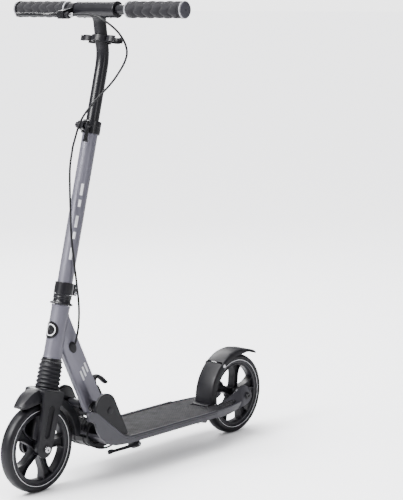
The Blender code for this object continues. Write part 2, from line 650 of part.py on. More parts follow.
def deck(chassis, kick):
    plate = [(170, -70), (530, -70), (530, -40), (562, -24), (562, 24), (530, 40), (530, 70), (170, 70)]
    body = slab("deck_platform", plate, PLATE_BOTTOM, PLATE_TOP, "deck_alloy", chassis, axis="Z")
    unite(body, slab("nose_shape", NOSE, -70, 70, "deck_alloy", chassis))
    for side in (-1, 1):
        low, high = span(side, RAIL_INNER, DECK_HALF_WIDTH)
        rail = RAIL_UPPER + RAIL_LOWER
        unite(body, slab(mirrored("rail_shape", side), rail, low, high, "deck_alloy", chassis))
        taper = [(529, 76), (600, 68), (652, 52), (664, 50), (664, 44.2), (648, 46), (598, 61), (529, 69.6)]
        taper = [(x, side * y) for x, y in taper]
        name = mirrored("rail_taper", side)
        unite(body, slab(name, taper, RAIL_BOTTOM + 0.5, RAIL_TOP - 1.5, "deck_alloy", chassis, "Z"))
        floor = [(529, 75), (600, 66), (650, 49), (650, 44.5), (600, 34), (560, 23), (529, 22)]
        floor = [(x, side * y) for x, y in floor]
        name = mirrored("tine_floor", side)
        unite(body, slab(name, floor, PLATE_BOTTOM - 0.5, PLATE_TOP - 0.5, "deck_alloy", chassis, "Z"))
        low, high = span(side, TINE_INNER, TINE_OUTER)
        unite(body, slab(mirrored("tine_side", side), TINE_SIDE, low, high, "deck_alloy", chassis))
        spot = (106, 0, 153)
        low, high = span(side, 54, 72)
        stub = rod(mirrored("nose_stub", side), 6, low, high, "deck_alloy", chassis, "Y", spot, 16)
        unite(body, stub)
        low, high = span(side, 9.5, 14)
        lug = [(546, 84), (576, 84), (568, 50), (561, 46), (554, 50)]
        unite(body, slab(mirrored("brake_lug", side), lug, low, high, "deck_alloy", chassis))
        low, high = span(side, 20, 25)
        keel = [(206, 83), (540, 83), (528, 72), (218, 72)]
        unite(body, slab(mirrored("keel_shape", side), keel, low, high, "deck_alloy", chassis))
    rear_axle = (WHEELBASE, 0, WHEEL_RADIUS)
    cut(body, rod("axle_slot", AXLE_RADIUS + GAP, -60, 60, "steel", chassis, "Y", rear_axle))
    cut(body, rod("brake_pin_hole", 3.0, -20, 20, "steel", chassis, "Y", BRAKE_PIVOT, 16))
    unite(body, box("kick_bracket", (244, -62, 57), (268, -46, 84), "deck_alloy", chassis))
    cut(body, rod("kick_clearance", 9, -0.3, 14, "steel", kick, "Z"))
    unite(body, rod("kick_pin_shape", 2.3, -9, 7.6, "steel", kick, "Z", sides=12))

    mat = [(228, -58), (240, -68.8), (528, -68.8), (596, -60.5), (606, -57), (606, -40), (566, -27)]
    mat += [(544, -22)]
    mat += [(x, -y) for x, y in reversed(mat)]
    slab("deck_grip_mat", mat, PLATE_TOP + GAP, MAT_TOP, "mat_black", chassis, axis="Z")


CHEEK = [(116, 164), (116, 178), (122, 192), (133, 201), (148, 205), (163, 202), (175, 194)]
CHEEK += [(224, 97), (168, 97), (142, 116), (126, 138)]
BRACKET = [(122, 164), (122, 177), (127, 189), (136, 197), (148, 200), (161, 198), (171, 191)]
BRACKET += [(218, 91.6), (172, 91.6), (144, 119), (130, 140)]


def fold_bracket(chassis):
    base = [(180, -63.3), (218, -63.3), (218, 63.3), (180, 63.3)]
    bracket = slab("fold_bracket", base, PLATE_TOP + GAP, 92.2, "black_alloy", chassis, axis="Z")
    pivot = (FOLD_X, 0, FOLD_Z)
    for side in (-1, 1):
        low, high = span(side, 60.3, 63.3)
        unite(bracket, slab(mirrored("bracket_side", side), BRACKET, low, high, "black_alloy", chassis))
        low, high = span(side, 63.6, 69.1)
        slab(mirrored("fold_cheek_cover", side), CHEEK, low, high, "black_plastic", chassis)
    cut(bracket, rod("pivot_hole", 5.3, -70, 70, "steel", chassis, "Y", pivot))
    rod("fold_pivot_pin", 5.0, -63.2, 63.2, "steel", chassis, "Y", pivot)

    block = [(139, 112), (150, 121.5), (166, 123.5), (176, 119), (186, 104), (186, 89.2), (178, 89.2)]
    block += [(161, 93.8), (147, 101.8)]
    cover = [(128, 101), (139, 90), (154, 81), (174, 78), (200, 78)]
    cover += [(196, 70), (170, 68), (146, 76), (131, 88)]
    unite(bracket, slab("stop_block_shape", block, -22, 22, "black_alloy", chassis))
    slab("hinge_underside_cover", cover, -28, 28, "black_plastic", chassis)


def shifted(outline, x, z):
    return [(a + x, b + z) for a, b in outline]


# ---------------------------------------------------------------- kickstand

KICK_PIVOT = (256.0, -66.0, 66.0)
KICK_SLANT = math.radians(65.07)


def kickstand(kick):
    """A leg that lies forward along the deck and swings down and out."""
    eye = ring("kickstand_leg", 2.6, 6, 0, 7, "black_alloy", kick, sides=20)
    leg = [(0, -4), (0, 4), (-84, 3.5), (-92, 6), (-97, 4), (-97, -4), (-92, -5), (-84, -3.5)]
    unite(eye, slab("kick_bar", shifted(leg, -4, 0), 0.8, 6.6, "black_alloy", kick, axis="Z"))


# ---------------------------------------------------------------- rear end

BRAKE_PIVOT = (561.0, 0.0, 56.0)
FENDER_HINGE = -38.3


def rear_fender(rear):
    foot = box("rear_fender_base", (-135, -25, -8.4), (-108, 25, -4), "black_plastic", rear)
    shell = arc((0, 0), 115, -94, -39.5, 12) + arc((0, 0), 112, -39.5, -94, 12)
    unite(foot, slab("base_shell", shell, -28, 28, "black_plastic", rear))
    skirt = arc((0, 0), 115, -94, -39.5, 12) + arc((0, 0), 98, -39.5, -94, 10)
    for side in (-1, 1):
        low, high = span(side, 25, 28)
        unite(foot, slab(mirrored("base_skirt", side), skirt, low, high, "black_plastic", rear))
    turn = math.radians(FENDER_HINGE)
    pin = (106 * math.sin(turn), 0, 106 * math.cos(turn))
    ear = arc((pin[0], pin[2]), 7, 90, -240, 11)
    for side in (-1, 1):
        low, high = span(side, 25, 28)
        unite(foot, slab(mirrored("base_ear", side), ear, low, high, "black_plastic", rear))
    hole = rod("fender_pin_hole", 2.5, -40, 40, "steel", rear, "Y", pin, 16)
    cut(foot, hole)

    outer = arc((0, 0), 115, -35.5, 18, 10)
    inner = arc((0, 0), 112, 18, -35.5, 10)
    outline = outer + [(58, 101), (78, 108), (80, 105), (58, 97)] + inner
    pedal = slab("rear_fender_pedal", outline, -28, 28, "black_plastic", rear)
    skirt = arc((0, 0), 115, -34, 14, 10) + arc((0, 0), 101, 12, -26, 8)
    for side in (-1, 1):
        low, high = span(side, 25, 28)
        unite(pedal, slab(mirrored("pedal_skirt", side), skirt, low, high, "black_plastic", rear))
        low, high = span(side, 20.5, 24.6)
        name = mirrored("pedal_ear", side)
        unite(pedal, slab(name, ear_arm(pin), low, high, "black_plastic", rear))
    cut(pedal, hole)
    rod("fender_hinge_pin", 2.2, -29, 29, "steel", rear, "Y", pin, 16)


def ear_arm(pin):
    """An arm from the hinge pin back to the underside of the pedal."""
    return arc((pin[0], pin[2]), 5.5, 180, 360, 6) + [(-50, 100.4), (-46, 98)]


def rear_brake(chassis):
    x, _, z = BRAKE_PIVOT
    outline = [(x - 5, z - 10), (x + 3, z - 10), (x + 5, z - 2), (x + 12, z + 7), (x + 19, z + 10)]
    outline += [(x + 17, z + 23), (x + 9, z + 23), (x + 5, z + 10), (x - 5, z + 4)]
    arm = slab("rear_brake_arm", outline, -8, 8, "steel", chassis)
    unite(arm, rod("brake_pin_shape", 2.7, -13.5, 13.5, "steel", chassis, "Y", BRAKE_PIVOT, 16))


# ---------------------------------------------------------------- assembly


def main():
    clear_scene()
    front = -WHEELBASE / 2
    chassis = datum("chassis", (front, 0, 0))
    column = datum("column", (front, 0, WHEEL_RADIUS), LEAN)
    foot = (FOLD_X + TUBE_SETBACK * math.cos(TUBE_TILT), 0, FOLD_Z + TUBE_SETBACK * math.sin(TUBE_TILT))
    frame = datum("frame", foot, -TUBE_TILT, chassis)
    bar = datum("bar", (TEE_BACK, 0, TEE_UP), -LEAN, column)
    rear = datum("rear", (-front, 0, WHEEL_RADIUS))
    kick = datum("kick", KICK_PIVOT, 0.0, chassis)
    kick.rotation_euler.x = KICK_SLANT

    wheel("front", datum("front_hub", (front, 0, WHEEL_RADIUS)))
    wheel("rear", rear)
    axle_bolt("rear_axle_bolt", TINE_OUTER + GAP, 4.2, rear, (HUB_HALF_WIDTH + GAP, TINE_INNER - GAP))
    fork(column)
    suspension(column)
    front_fender(column)
    steering(column)
    quick_clamp(column)
    upper_column(column)
    grip_clips(column)
    handles(bar)
    brake_lever(bar)
    brake_cables(column, chassis)
    main_frame(column, frame)
    fold_release(frame)
    deck(chassis, kick)
    fold_bracket(chassis)
    kickstand(kick)
    rear_fender(rear)
    rear_brake(chassis)


main()
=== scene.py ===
"""Looks for the folding kick scooter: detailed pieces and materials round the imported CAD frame.

Shapes are written in millimetres in the datum frames below, and land in the row frame in metres.
"""

import json
import math

import bmesh
import bpy
from mathutils import Euler, Matrix, Vector

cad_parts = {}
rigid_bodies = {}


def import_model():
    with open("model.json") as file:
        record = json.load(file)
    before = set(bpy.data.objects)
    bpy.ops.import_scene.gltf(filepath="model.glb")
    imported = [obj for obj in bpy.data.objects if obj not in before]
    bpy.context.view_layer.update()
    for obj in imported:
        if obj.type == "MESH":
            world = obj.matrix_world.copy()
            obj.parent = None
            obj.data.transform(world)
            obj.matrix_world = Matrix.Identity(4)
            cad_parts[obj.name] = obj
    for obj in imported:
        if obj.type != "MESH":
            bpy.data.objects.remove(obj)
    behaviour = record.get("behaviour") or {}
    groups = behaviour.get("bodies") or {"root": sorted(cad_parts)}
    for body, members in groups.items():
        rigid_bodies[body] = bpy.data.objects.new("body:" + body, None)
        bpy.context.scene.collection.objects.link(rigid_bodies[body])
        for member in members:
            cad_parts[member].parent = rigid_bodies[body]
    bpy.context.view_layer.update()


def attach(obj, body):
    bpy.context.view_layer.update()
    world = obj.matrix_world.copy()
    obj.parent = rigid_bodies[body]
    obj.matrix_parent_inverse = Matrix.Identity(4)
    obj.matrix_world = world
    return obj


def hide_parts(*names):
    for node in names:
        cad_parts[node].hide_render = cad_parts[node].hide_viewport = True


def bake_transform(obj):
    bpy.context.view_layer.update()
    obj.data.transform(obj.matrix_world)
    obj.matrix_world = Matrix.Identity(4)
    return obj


for startup in list(bpy.data.objects):
    bpy.data.objects.remove(startup, do_unlink=True)
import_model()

MM = 0.001
LEAN = math.radians(14.38)
TUBE_TILT = math.radians(26.57)
KICK_SLANT = math.radians(65.07)
FOLD = (163.0, 163.0)
TUBE_SETBACK = 9.0
TUBE_PIVOT = (-TUBE_SETBACK, 0, 0)
HALF_BASE = 340
HUB_HEIGHT = 100
BAR_SPOT = (-40, 0, 976)
CLAMP_SPOT = (-28, 0, 718)
BEND_END = (-10, 0, 903)
LATCH_SPOT = (-28, -14.8, 718)
BUTTON_REACH = 40
LEVER_SPOT = (-36, 76, 0)
CLIP_CENTRE = -14.0
BADGE_HEIGHT = 260
CABLE_RADIUS = 2.4
HINGE_TURN = math.radians(-38.3)
HINGE_REACH = 106
HINGE_SPOT = (HINGE_REACH * math.sin(HINGE_TURN), HINGE_REACH * math.cos(HINGE_TURN))
HINGE_CENTRE = (HINGE_SPOT[0], 0, HINGE_SPOT[1])
SPOKES = 5
DARK = 0.03
BOTH = (-1, 1)
SIDES = ((-1, "left"), (1, "right"))


def move(x, y, z):
    return Matrix.Translation(Vector((x, y, z)) * MM)


# Each datum is a frame in millimetres: CHASSIS has x from the front axle and z from the ground, COLUMN
# has z up the steering axis, BAR is level at the bars, TUBE has z up the down tube from its foot, and
# KICK has z along the kickstand's hinge.
CHASSIS = move(-HALF_BASE, 0, 0)
FRONT_HUB = move(-HALF_BASE, 0, HUB_HEIGHT)
REAR_HUB = move(HALF_BASE, 0, HUB_HEIGHT)
COLUMN = FRONT_HUB @ Matrix.Rotation(LEAN, 4, "Y")
BAR = Matrix.Translation(COLUMN @ (Vector(BAR_SPOT) * MM))
TUBE_FOOT = (
    FOLD[0] + TUBE_SETBACK * math.cos(TUBE_TILT),
    FOLD[1] + TUBE_SETBACK * math.sin(TUBE_TILT),
)
TUBE = CHASSIS @ move(TUBE_FOOT[0], 0, TUBE_FOOT[1]) @ Matrix.Rotation(-TUBE_TILT, 4, "Y")
KICK = CHASSIS @ move(256, -66, 66) @ Matrix.Rotation(KICK_SLANT, 4, "X")


# ---------------------------------------------------------------- materials


class Look:
    """A Principled material whose colour and roughness drift gently over the surface.

    spread and rough_spread say how far each drifts, and patch how fine the drift is.
    """

    def __init__(self, name, colour, spread, rough, rough_spread, metallic=0.0, coat=0.0, patch=9.0):
        self.material = bpy.data.materials.new(name)
        self.material.use_nodes = True
        self.tree = self.material.node_tree
        self.shader = self.tree.nodes["Principled BSDF"]
        self.set("Metallic", metallic)
        self.set("Coat Weight", coat)
        self.set("Coat Roughness", 0.25)
        if max(colour) < DARK:
            self.set("Specular IOR Level", 0.3)
        self.coords = self.node("TexCoord").outputs["Object"]
        dark = [c * (1 - spread) for c in colour]
        light = [c * (1 + spread) for c in colour]
        self.colour(self.noise(patch, 4.0), dark, light)
        smudge = self.node("MapRange")
        self.wire(self.noise(patch * 5, 5.0), smudge.inputs["Value"])
        smudge.inputs["From Min"].default_value = 0.3
        smudge.inputs["From Max"].default_value = 0.7
        smudge.inputs["To Min"].default_value = rough - rough_spread
        smudge.inputs["To Max"].default_value = rough + rough_spread
        self.wire(smudge.outputs["Result"], self.shader.inputs["Roughness"])

    def set(self, socket, value):
        self.shader.inputs[socket].default_value = value

    def node(self, kind):
        return self.tree.nodes.new("ShaderNode" + kind)

    def wire(self, source, target):
        self.tree.links.new(source, target)

    def noise(self, scale, detail=3.0, stretch=None):
        node = self.node("TexNoise")
        node.inputs["Scale"].default_value = scale
        node.inputs["Detail"].default_value = detail
        coords = self.coords
        if stretch:
            mapping = self.node("Mapping")
            mapping.inputs["Scale"].default_value = stretch
            self.wire(coords, mapping.inputs["Vector"])
            coords = mapping.outputs["Vector"]
        self.wire(coords, node.inputs["Vector"])
        return node.outputs["Fac"]

    def cells(self, scale, randomness=1.0):
        node = self.node("TexVoronoi")
        node.inputs["Scale"].default_value = scale
        node.inputs["Randomness"].default_value = randomness
        self.wire(self.coords, node.inputs["Vector"])
        return node.outputs["Distance"]

    def waves(self, scale, direction):
        node = self.node("TexWave")
        node.bands_direction = direction
        node.inputs["Scale"].default_value = scale
        node.inputs["Distortion"].default_value = 0.0
        self.wire(self.coords, node.inputs["Vector"])
        return node.outputs["Fac"]

    def colour(self, value, dark, light):
        ramp = self.node("ValToRGB")
        for stop, place, tone in zip(ramp.color_ramp.elements, (0.3, 0.7), (dark, light)):
            stop.position = place
            stop.color = (*tone, 1)
        self.wire(value, ramp.inputs["Fac"])
        self.wire(ramp.outputs["Color"], self.shader.inputs["Base Color"])

    def relief(self, height, strength, distance=0.0002):
        bump = self.node("Bump")
        bump.inputs["Strength"].default_value = strength
        bump.inputs["Distance"].default_value = distance
        self.wire(height, bump.inputs["Height"])
        self.wire(bump.outputs["Normal"], self.shader.inputs["Normal"])


def maths(tree, operation, a, b):
    node = tree.nodes.new("ShaderNodeMath")
    node.operation = operation
    for socket, value in zip(node.inputs, (a, b)):
        if isinstance(value, float):
            socket.default_value = value
        else:
            tree.links.new(value, socket)
    return node.outputs["Value"]


def satin_paint():
    look = Look("satin_grey_paint", (0.150, 0.146, 0.180), 0.04, 0.40, 0.04, 0.45, 0.3)
    look.relief(look.noise(2600, 2.0), 0.05)
    return look.material


def deck_paint():
    look = Look("deck_grey_paint", (0.042, 0.041, 0.050), 0.06, 0.42, 0.05, 0.4, 0.2)
    look.relief(look.noise(900, 3.0, (0.15, 1, 1)), 0.08)
    return look.material


def black_paint():
    look = Look("satin_black_paint", (0.0050, 0.0048, 0.0070), 0.1, 0.34, 0.05, 0.0, 0.3)
    look.relief(look.noise(1500, 2.0), 0.03)
    return look.material


def black_plastic():
    look = Look("moulded_black", (0.0060, 0.0058, 0.0080), 0.1, 0.45, 0.06)
    look.relief(look.noise(1100), 0.16, 0.0003)
    return look.material


def wheel_plastic():
    look = Look("moulded_charcoal", (0.0125, 0.0120, 0.0160), 0.1, 0.40, 0.06, 0.0, 0.1)
    look.relief(look.noise(1000), 0.12, 0.0003)
    return look.material


def tyre_urethane():
    look = Look("tyre_urethane", (0.0052, 0.0050, 0.0070), 0.12, 0.42, 0.08)
    fine, scuffs = look.noise(1400), look.noise(160, 6.0)
    look.relief(maths(look.tree, "ADD", fine, scuffs), 0.12, 0.0004)
    return look.material


def grip_foam():
    look = Look("grip_foam", (0.0068, 0.0064, 0.0088), 0.25, 0.84, 0.07, 0.0, 0.0, 60)
    look.set("Sheen Weight", 0.12)
    look.relief(look.cells(900), 0.55, 0.0005)
    return look.material


def grip_sheet():
    """The deck's sheet: fine ribs along it, broken into studs by grooves across. Its colour is painted
    darker in the grooves, as painted shade.
    """
    look = Look("ribbed_sheet", (0.020, 0.0195, 0.024), 0.15, 0.66, 0.08)
    studs_and_groove_shade = maths(look.tree, "MULTIPLY", look.waves(52, "Y"), look.waves(36, "X"))
    dirt = maths(look.tree, "MULTIPLY", look.noise(40, 5.0), 0.16)
    # The stud pattern makes the colour darker in the grooves between studs: painted shade. The noise added
    # to it is random dirt.
    tone = maths(look.tree, "ADD", maths(look.tree, "MULTIPLY", studs_and_groove_shade, 0.95), dirt)
    look.colour(tone, (0.0020, 0.0019, 0.0027), (0.034, 0.033, 0.040))
    look.relief(studs_and_groove_shade, 0.9, 0.0012)
    return look.material


def bright_steel():
    look = Look("bright_steel", (0.62, 0.62, 0.64), 0.06, 0.2, 0.06, 1.0, 0.0, 40)
    look.relief(look.noise(500, 4.0, (1, 0.08, 1)), 0.05)
    return look.material


def gloss_black():
    look = Look("gloss_black", (0.0048, 0.0047, 0.0062), 0.1, 0.16, 0.04, 0.0, 0.6)
    look.relief(look.noise(700, 2.0), 0.03)
    return look.material


def silver_ring():
    look = Look("silver_ring", (0.50, 0.50, 0.53), 0.05, 0.34, 0.05, 0.75, 0.0, 40)
    look.relief(look.noise(1300, 2.0), 0.05)
    return look.material


def cap_plastic():
    look = Look("cap_plastic", (0.055, 0.054, 0.068), 0.08, 0.5, 0.06)
    look.relief(look.noise(1200), 0.12, 0.0003)
    return look.material


def cable_sheath():
    look = Look("cable_sheath", (0.0060, 0.0060, 0.0075), 0.1, 0.5, 0.05)
    look.relief(look.noise(800, 2.0), 0.05)
    return look.material


def white_print():
    look = Look("white_print", (0.74, 0.74, 0.77), 0.05, 0.45, 0.06)
    look.relief(look.noise(900), 0.05)
    return look.material


def perforated():
    """The dark insert in each fork leg, with a fine net pressed into it. Its colour is darker in the net's
    pits: painted shade.
    """
    look = Look("perforated_insert", (0.003, 0.003, 0.004), 0.2, 0.6, 0.06)
    cells = look.cells(420, 0.15)
    # The colour follows the net's pits, darker where they are pressed in: painted shade.
    tone = maths(look.tree, "MULTIPLY", cells, 1.4)
    look.colour(tone, (0.0012, 0.0012, 0.0016), (0.0085, 0.0083, 0.0105))
    look.relief(cells, 0.8, 0.0008)
    return look.material


FINISH = {
    "paint": (satin_paint(), "frame_grey"),
    "deck": (deck_paint(), "deck_alloy"),
    "black": (black_paint(), "black_alloy"),
    "plastic": (black_plastic(), "black_plastic"),
    "wheel": (wheel_plastic(), "wheel_grey"),
    "tyre": (tyre_urethane(), "tyre_rubber"),
    "foam": (grip_foam(), "grip_rubber"),
    "sheet": (grip_sheet(), "mat_black"),
    "steel": (bright_steel(), "steel"),
    "gloss": (gloss_black(), "black_alloy"),
    "silver": (silver_ring(), "cap_grey"),
    "cap": (cap_plastic(), "cap_grey"),
    "cable": (cable_sheath(), "cable_black"),
    "print": (white_print(), "cap_grey"),
    "net": (perforated(), "black_plastic"),
}


# ---------------------------------------------------------------- shapes: each gives (points, faces)


def loft(loops, ring=False):
    count = len(loops[0])
    points = [tuple(p) for loop in loops for p in loop]
    faces = []
    total = len(loops)
    for i in range(total if ring else total - 1):
        a, b = i * count, ((i + 1) % total) * count
        for k in range(count):
            j = (k + 1) % count
            faces.append([a + k, a + j, b + j, b + k])
    if not ring:
        faces.append(list(range(count))[::-1])
        faces.append(list(range(len(points) - count, len(points))))
    return points, faces


def spun(radius, turn, height, axis, centre):
    c, s = radius * math.cos(turn), radius * math.sin(turn)
    spot = {"Z": (c, s, height), "Y": (s, height, -c), "X": (height, c, s)}[axis]
    return tuple(Vector(spot) + Vector(centre))


def lathe(profile, axis="Z", centre=(0, 0, 0), sides=64):
    """A closed ring of (radius, height) points, or one from axis to axis, turned all the way."""
    solid = profile[0][0] == 0
    inner = profile[1:-1] if solid else profile
    loops = []
    for i in range(sides):
        turn = math.tau * i / sides
        loops.append([spun(r, turn, h, axis, centre) for r, h in inner])
    count = len(inner)
    points = [p for loop in loops for p in loop]
    faces = []
    for i in range(sides):
        a, b = i * count, ((i + 1) % sides) * count
        for k in range(count - 1 if solid else count):
            j = (k + 1) % count
            faces.append([a + k, a + j, b + j, b + k])
    if solid:
        for end, k in ((profile[0], 0), (profile[-1], count - 1)):
            points.append(spun(0, 0, end[1], axis, centre))
            for i in range(sides):
                faces.append([len(points) - 1, i * count + k, ((i + 1) % sides) * count + k])
    return points, faces


def rod(radius, low, high, axis="Z", centre=(0, 0, 0), sides=40, edge=0.4):
    edge = min(edge, radius * 0.4)
    profile = [(0, low), (radius - edge, low), (radius, low + edge), (radius, high - edge)]
    return lathe(profile + [(radius - edge, high), (0, high)], axis, centre, sides)


def hoop(inner, outer, low, high, axis="Z", centre=(0, 0, 0), sides=64, edge=0.4):
    profile = [(inner, low), (outer - edge, low), (outer, low + edge), (outer, high - edge)]
    return lathe(profile + [(outer - edge, high), (inner, high)], axis, centre, sides)


def band(inner, outer, low, high, first, last, axis="Y", centre=(0, 0, 0), step=4.0):
    """Part of a flat ring, between two angles in degrees."""
    count = max(2, round(abs(last - first) / step))
    loops = []
    for i in range(count + 1):
        turn = math.radians(first + (last - first) * i / count)
        loops.append(
            [
                spun(r, turn, h, axis, centre) for r,
                h in ((inner, low), (outer, low), (outer, high), (inner, high))
            ]
        )
    return loft(loops)


def prism(outline, low, high, axis="Y"):
    place = {
        "Y": lambda a, b, c: (a, c, b),
        "Z": lambda a, b, c: (a, b, c),
        "X": lambda a, b, c: (c, a, b),
    }[axis]
    return loft([[place(a, b, c) for a, b in outline] for c in (low, high)])


def block(low, high):
    outline = [(low[0], low[1]), (high[0], low[1]), (high[0], high[1]), (low[0], high[1])]
    return prism(outline, low[2], high[2], "Z")


def arc(centre, radius, first, last, steps):
    """Points on a circle, its angles in degrees from straight up towards the rear."""
    turns = [math.radians(first + (last - first) * i / steps) for i in range(steps + 1)]
    return [(centre[0] + radius * math.sin(t), centre[1] + radius * math.cos(t)) for t in turns]


def rounded(outline, radius, steps=4):
    """The outline with its corners turned into short arcs, where there is room."""
    found = []
    for i, spot in enumerate(outline):
        here = Vector(spot)
        before, after = Vector(outline[i - 1]) - here, Vector(outline[(i + 1) % len(outline)]) - here
        room = min(radius, before.length * 0.45, after.length * 0.45)
        start, end = here + before.normalized() * room, here + after.normalized() * room
        for k in range(steps + 1):
            t = k / steps
            found.append(tuple((1 - t) ** 2 * start + 2 * t * (1 - t) * here + t * t * end))
    return found


def curve(points, step=6.0):
    """Points on a Catmull-Rom curve through the given ones, about every step millimetres."""
    spots = [Vector(p) for p in points]
    spots = [2 * spots[0] - spots[1]] + spots + [2 * spots[-1] - spots[-2]]
    route = []
    for a, b, c, d in zip(spots, spots[1:], spots[2:], spots[3:]):
        count = max(1, round((c - b).length / step))
        for i in range(count):
            t = i / count
            first = 2 * b + (c - a) * t + (2 * a - 5 * b + 4 * c - d) * t**2
            route.append(0.5 * (first + (3 * b - a - 3 * c + d) * t**3))
    return route + [spots[-2]]


def tube(path, radius, sides=24, flat=1.0, side=None):
    """A round or oval bar along a path. radius is one number or one for each point."""
    path = [Vector(p) for p in path]
    radii = radius if isinstance(radius, list) else [radius] * len(path)
    across = Vector(side) if side else None
    loops = []
    for i, spot in enumerate(path):
        along = (path[min(i + 1, len(path) - 1)] - path[max(i - 1, 0)]).normalized()
        if across is None:
            across = along.orthogonal()
        across = (across - along * across.dot(along)).normalized()
        other = along.cross(across)
        loop = []
        for k in range(sides):
            turn = math.tau * k / sides
            loop.append(spot + (across * math.cos(turn) + other * math.sin(turn) * flat) * radii[i])
        loops.append(loop)
    return loft(loops)


def span(side, near, far):
    """Low and high y of a layer that lies from near to far out, on one side."""
    return (-far, -near) if side < 0 else (near, far)


def pair(outline, near, far):
    """The same flat plate on both sides."""
    return [prism(outline, *span(side, near, far)) for side in BOTH]


def both_ways(half):
    """A profile mirrored about the wheel's middle plane."""
    return [(r, -y) for r, y in reversed(half)] + half


def turned(profile, side, sides=96, centre=(0, 0, 0)):
    """A profile of (radius, distance out), turned about Y on one side."""
    return lathe([(r, side * y) for r, y in profile], "Y", centre, sides)


def swing(across, out, turn):
    """A point on a spoke, turned about the hub."""
    return across * math.cos(turn) + out * math.sin(turn), out * math.cos(turn) - across * math.sin(turn)


# ---------------------------------------------------------------- pieces


def mesh_of(name, shapes, where):
    build = bmesh.new()
    for points, faces in shapes:
        corners = [build.verts.new(where @ (Vector(p) * MM)) for p in points]
        for face in faces:
            build.faces.new([corners[i] for i in face])
    bmesh.ops.recalc_face_normals(build, faces=build.faces)
    mesh = bpy.data.meshes.new(name)
    build.to_mesh(mesh)
    build.free()
    return mesh


def linked(name, mesh):
    obj = bpy.data.objects.new(name, mesh)
    bpy.context.scene.collection.objects.link(obj)
    return obj


def boolean(obj, operation, shapes, where):
    """Adds shapes to obj's mesh, or cuts them out of it. Its modifiers are used up."""
    for i, shape in enumerate(shapes):
        other = linked(f"{obj.name}_cut_{i}", mesh_of("cut", [shape], where))
        modifier = obj.modifiers.new("shape", "BOOLEAN")
        modifier.operation = operation
        modifier.solver = "EXACT"
        modifier.object = other
        bpy.context.view_layer.update()
        result = bpy.data.meshes.new_from_object(obj.evaluated_get(bpy.context.evaluated_depsgraph_get()))
        obj.modifiers.clear()
        obj.data = result
        bpy.data.objects.remove(other, do_unlink=True)


def piece(
    name, shapes, finish, body, where=CHASSIS, cad=(), bevel=0.0, segments=3, angle=35, cut=(), join=(),
    bend=()
):
    """Makes a visible piece of shapes written in the frame where, in one of the finishes.

    It rides body, and stands for the cad nodes. Given bend, it rides no body and stays where it is made;
    bend's body and points are not used.
    join and cut are shapes added and taken away. bevel is the width of its rounded edges.
    """
    obj = linked(name, mesh_of(name, shapes, where))
    boolean(obj, "UNION", join, where)
    boolean(obj, "DIFFERENCE", cut, where)
    material, slot = FINISH[finish]
    obj.data.materials.clear()
    obj.data.materials.append(material)
    obj.data.shade_smooth()
    obj.data.set_sharp_from_angle(angle=math.radians(angle))
    if bevel:
        modifier = obj.modifiers.new("edges", "BEVEL")
        modifier.width = bevel * MM
        modifier.segments = segments
        modifier.limit_method = "ANGLE"
        modifier.angle_limit = math.radians(32)
        modifier.harden_normals = True
    modifier = obj.modifiers.new("shading", "WEIGHTED_NORMAL")
    modifier.keep_sharp = True
    if bend:
        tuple(bend[1])
        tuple(bend[2])
        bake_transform(obj)
    else:
        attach(obj, body)
    if cad:
        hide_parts(*cad)
    return obj


# ---------------------------------------------------------------- camera, light and floor


def placed(name, data, matrix):
    obj = bpy.data.objects.new(name, data)
    bpy.context.scene.collection.objects.link(obj)
    obj.matrix_world = matrix
    return obj


def facing(spot, ahead):
    return Matrix.Translation(spot) @ ahead.to_track_quat("-Z", "Y").to_matrix().to_4x4()


def camera():
    """A long lens, seen from the front left and from a little above."""
    yaw, pitch, roll = math.radians(49.69), math.radians(8.5), math.radians(0.19)
    level = math.cos(pitch)
    ahead = Vector((math.sin(yaw) * level, math.cos(yaw) * level, -math.sin(pitch)))
    turn = facing((-2.742, -2.512, 1.0576), ahead) @ Matrix.Rotation(roll, 4, "Z")
    obj = placed("camera", bpy.data.cameras.new("camera"), turn)
    obj.data.sensor_fit = "VERTICAL"
    obj.data.sensor_height = 36
    obj.data.lens = 116.2
    bpy.context.scene.camera = obj


def floor():
    """A wide pale floor that glows to the camera. Its glow fades where the object stands close over it: a
    painted contact shadow.
    """
    wide, thick, gap = 600000, 20, 0.5
    slab = block((-wide, -wide, -thick), (wide, wide, -gap))
    obj = linked("floor", mesh_of("floor", [slab], Matrix.Identity(4)))
    material = bpy.data.materials.new("floor_white")
    material.use_nodes = True
    tree = material.node_tree
    shader = tree.nodes["Principled BSDF"]
    shader.inputs["Base Color"].default_value = (0.80, 0.80, 0.82, 1)
    shader.inputs["Roughness"].default_value = 0.55
    shader.inputs["Emission Color"].default_value = (0.98, 0.98, 1.0, 1)
    seen = tree.nodes.new("ShaderNodeLightPath").outputs["Is Camera Ray"]
    # Ambient occlusion dims the floor's glow under and beside the object: painted shadow.
    near = tree.nodes.new("ShaderNodeAmbientOcclusion")
    near.inputs["Distance"].default_value = 0.5
    glow = maths(tree, "MULTIPLY", near.outputs["AO"], near.outputs["AO"])
    glow = maths(tree, "MULTIPLY", maths(tree, "MULTIPLY", seen, glow), 2.5)
    tree.links.new(glow, shader.inputs["Emission Strength"])
    obj.data.materials.append(material)


def backdrop():
    """A dim sky that lights the object, and a bright one behind it."""
    world = bpy.data.worlds.new("studio")
    bpy.context.scene.world = world
    world.use_nodes = True
    tree = world.node_tree
    mix = tree.nodes.new("ShaderNodeMixShader")
    lit, seen = tree.nodes["Background"], tree.nodes.new("ShaderNodeBackground")
    skies = ((lit, (1.0, 1.0, 1.03, 1), 0.28), (seen, (1.0, 1.0, 1.01, 1), 3.3))
    for slot, (sky, colour, strength) in enumerate(skies, 1):
        sky.inputs["Color"].default_value = colour
        sky.inputs["Strength"].default_value = strength
        tree.links.new(sky.outputs["Background"], mix.inputs[slot])
    tree.links.new(tree.nodes.new("ShaderNodeLightPath").outputs["Is Camera Ray"], mix.inputs["Fac"])
    tree.links.new(mix.outputs["Shader"], tree.nodes["World Output"].inputs["Surface"])


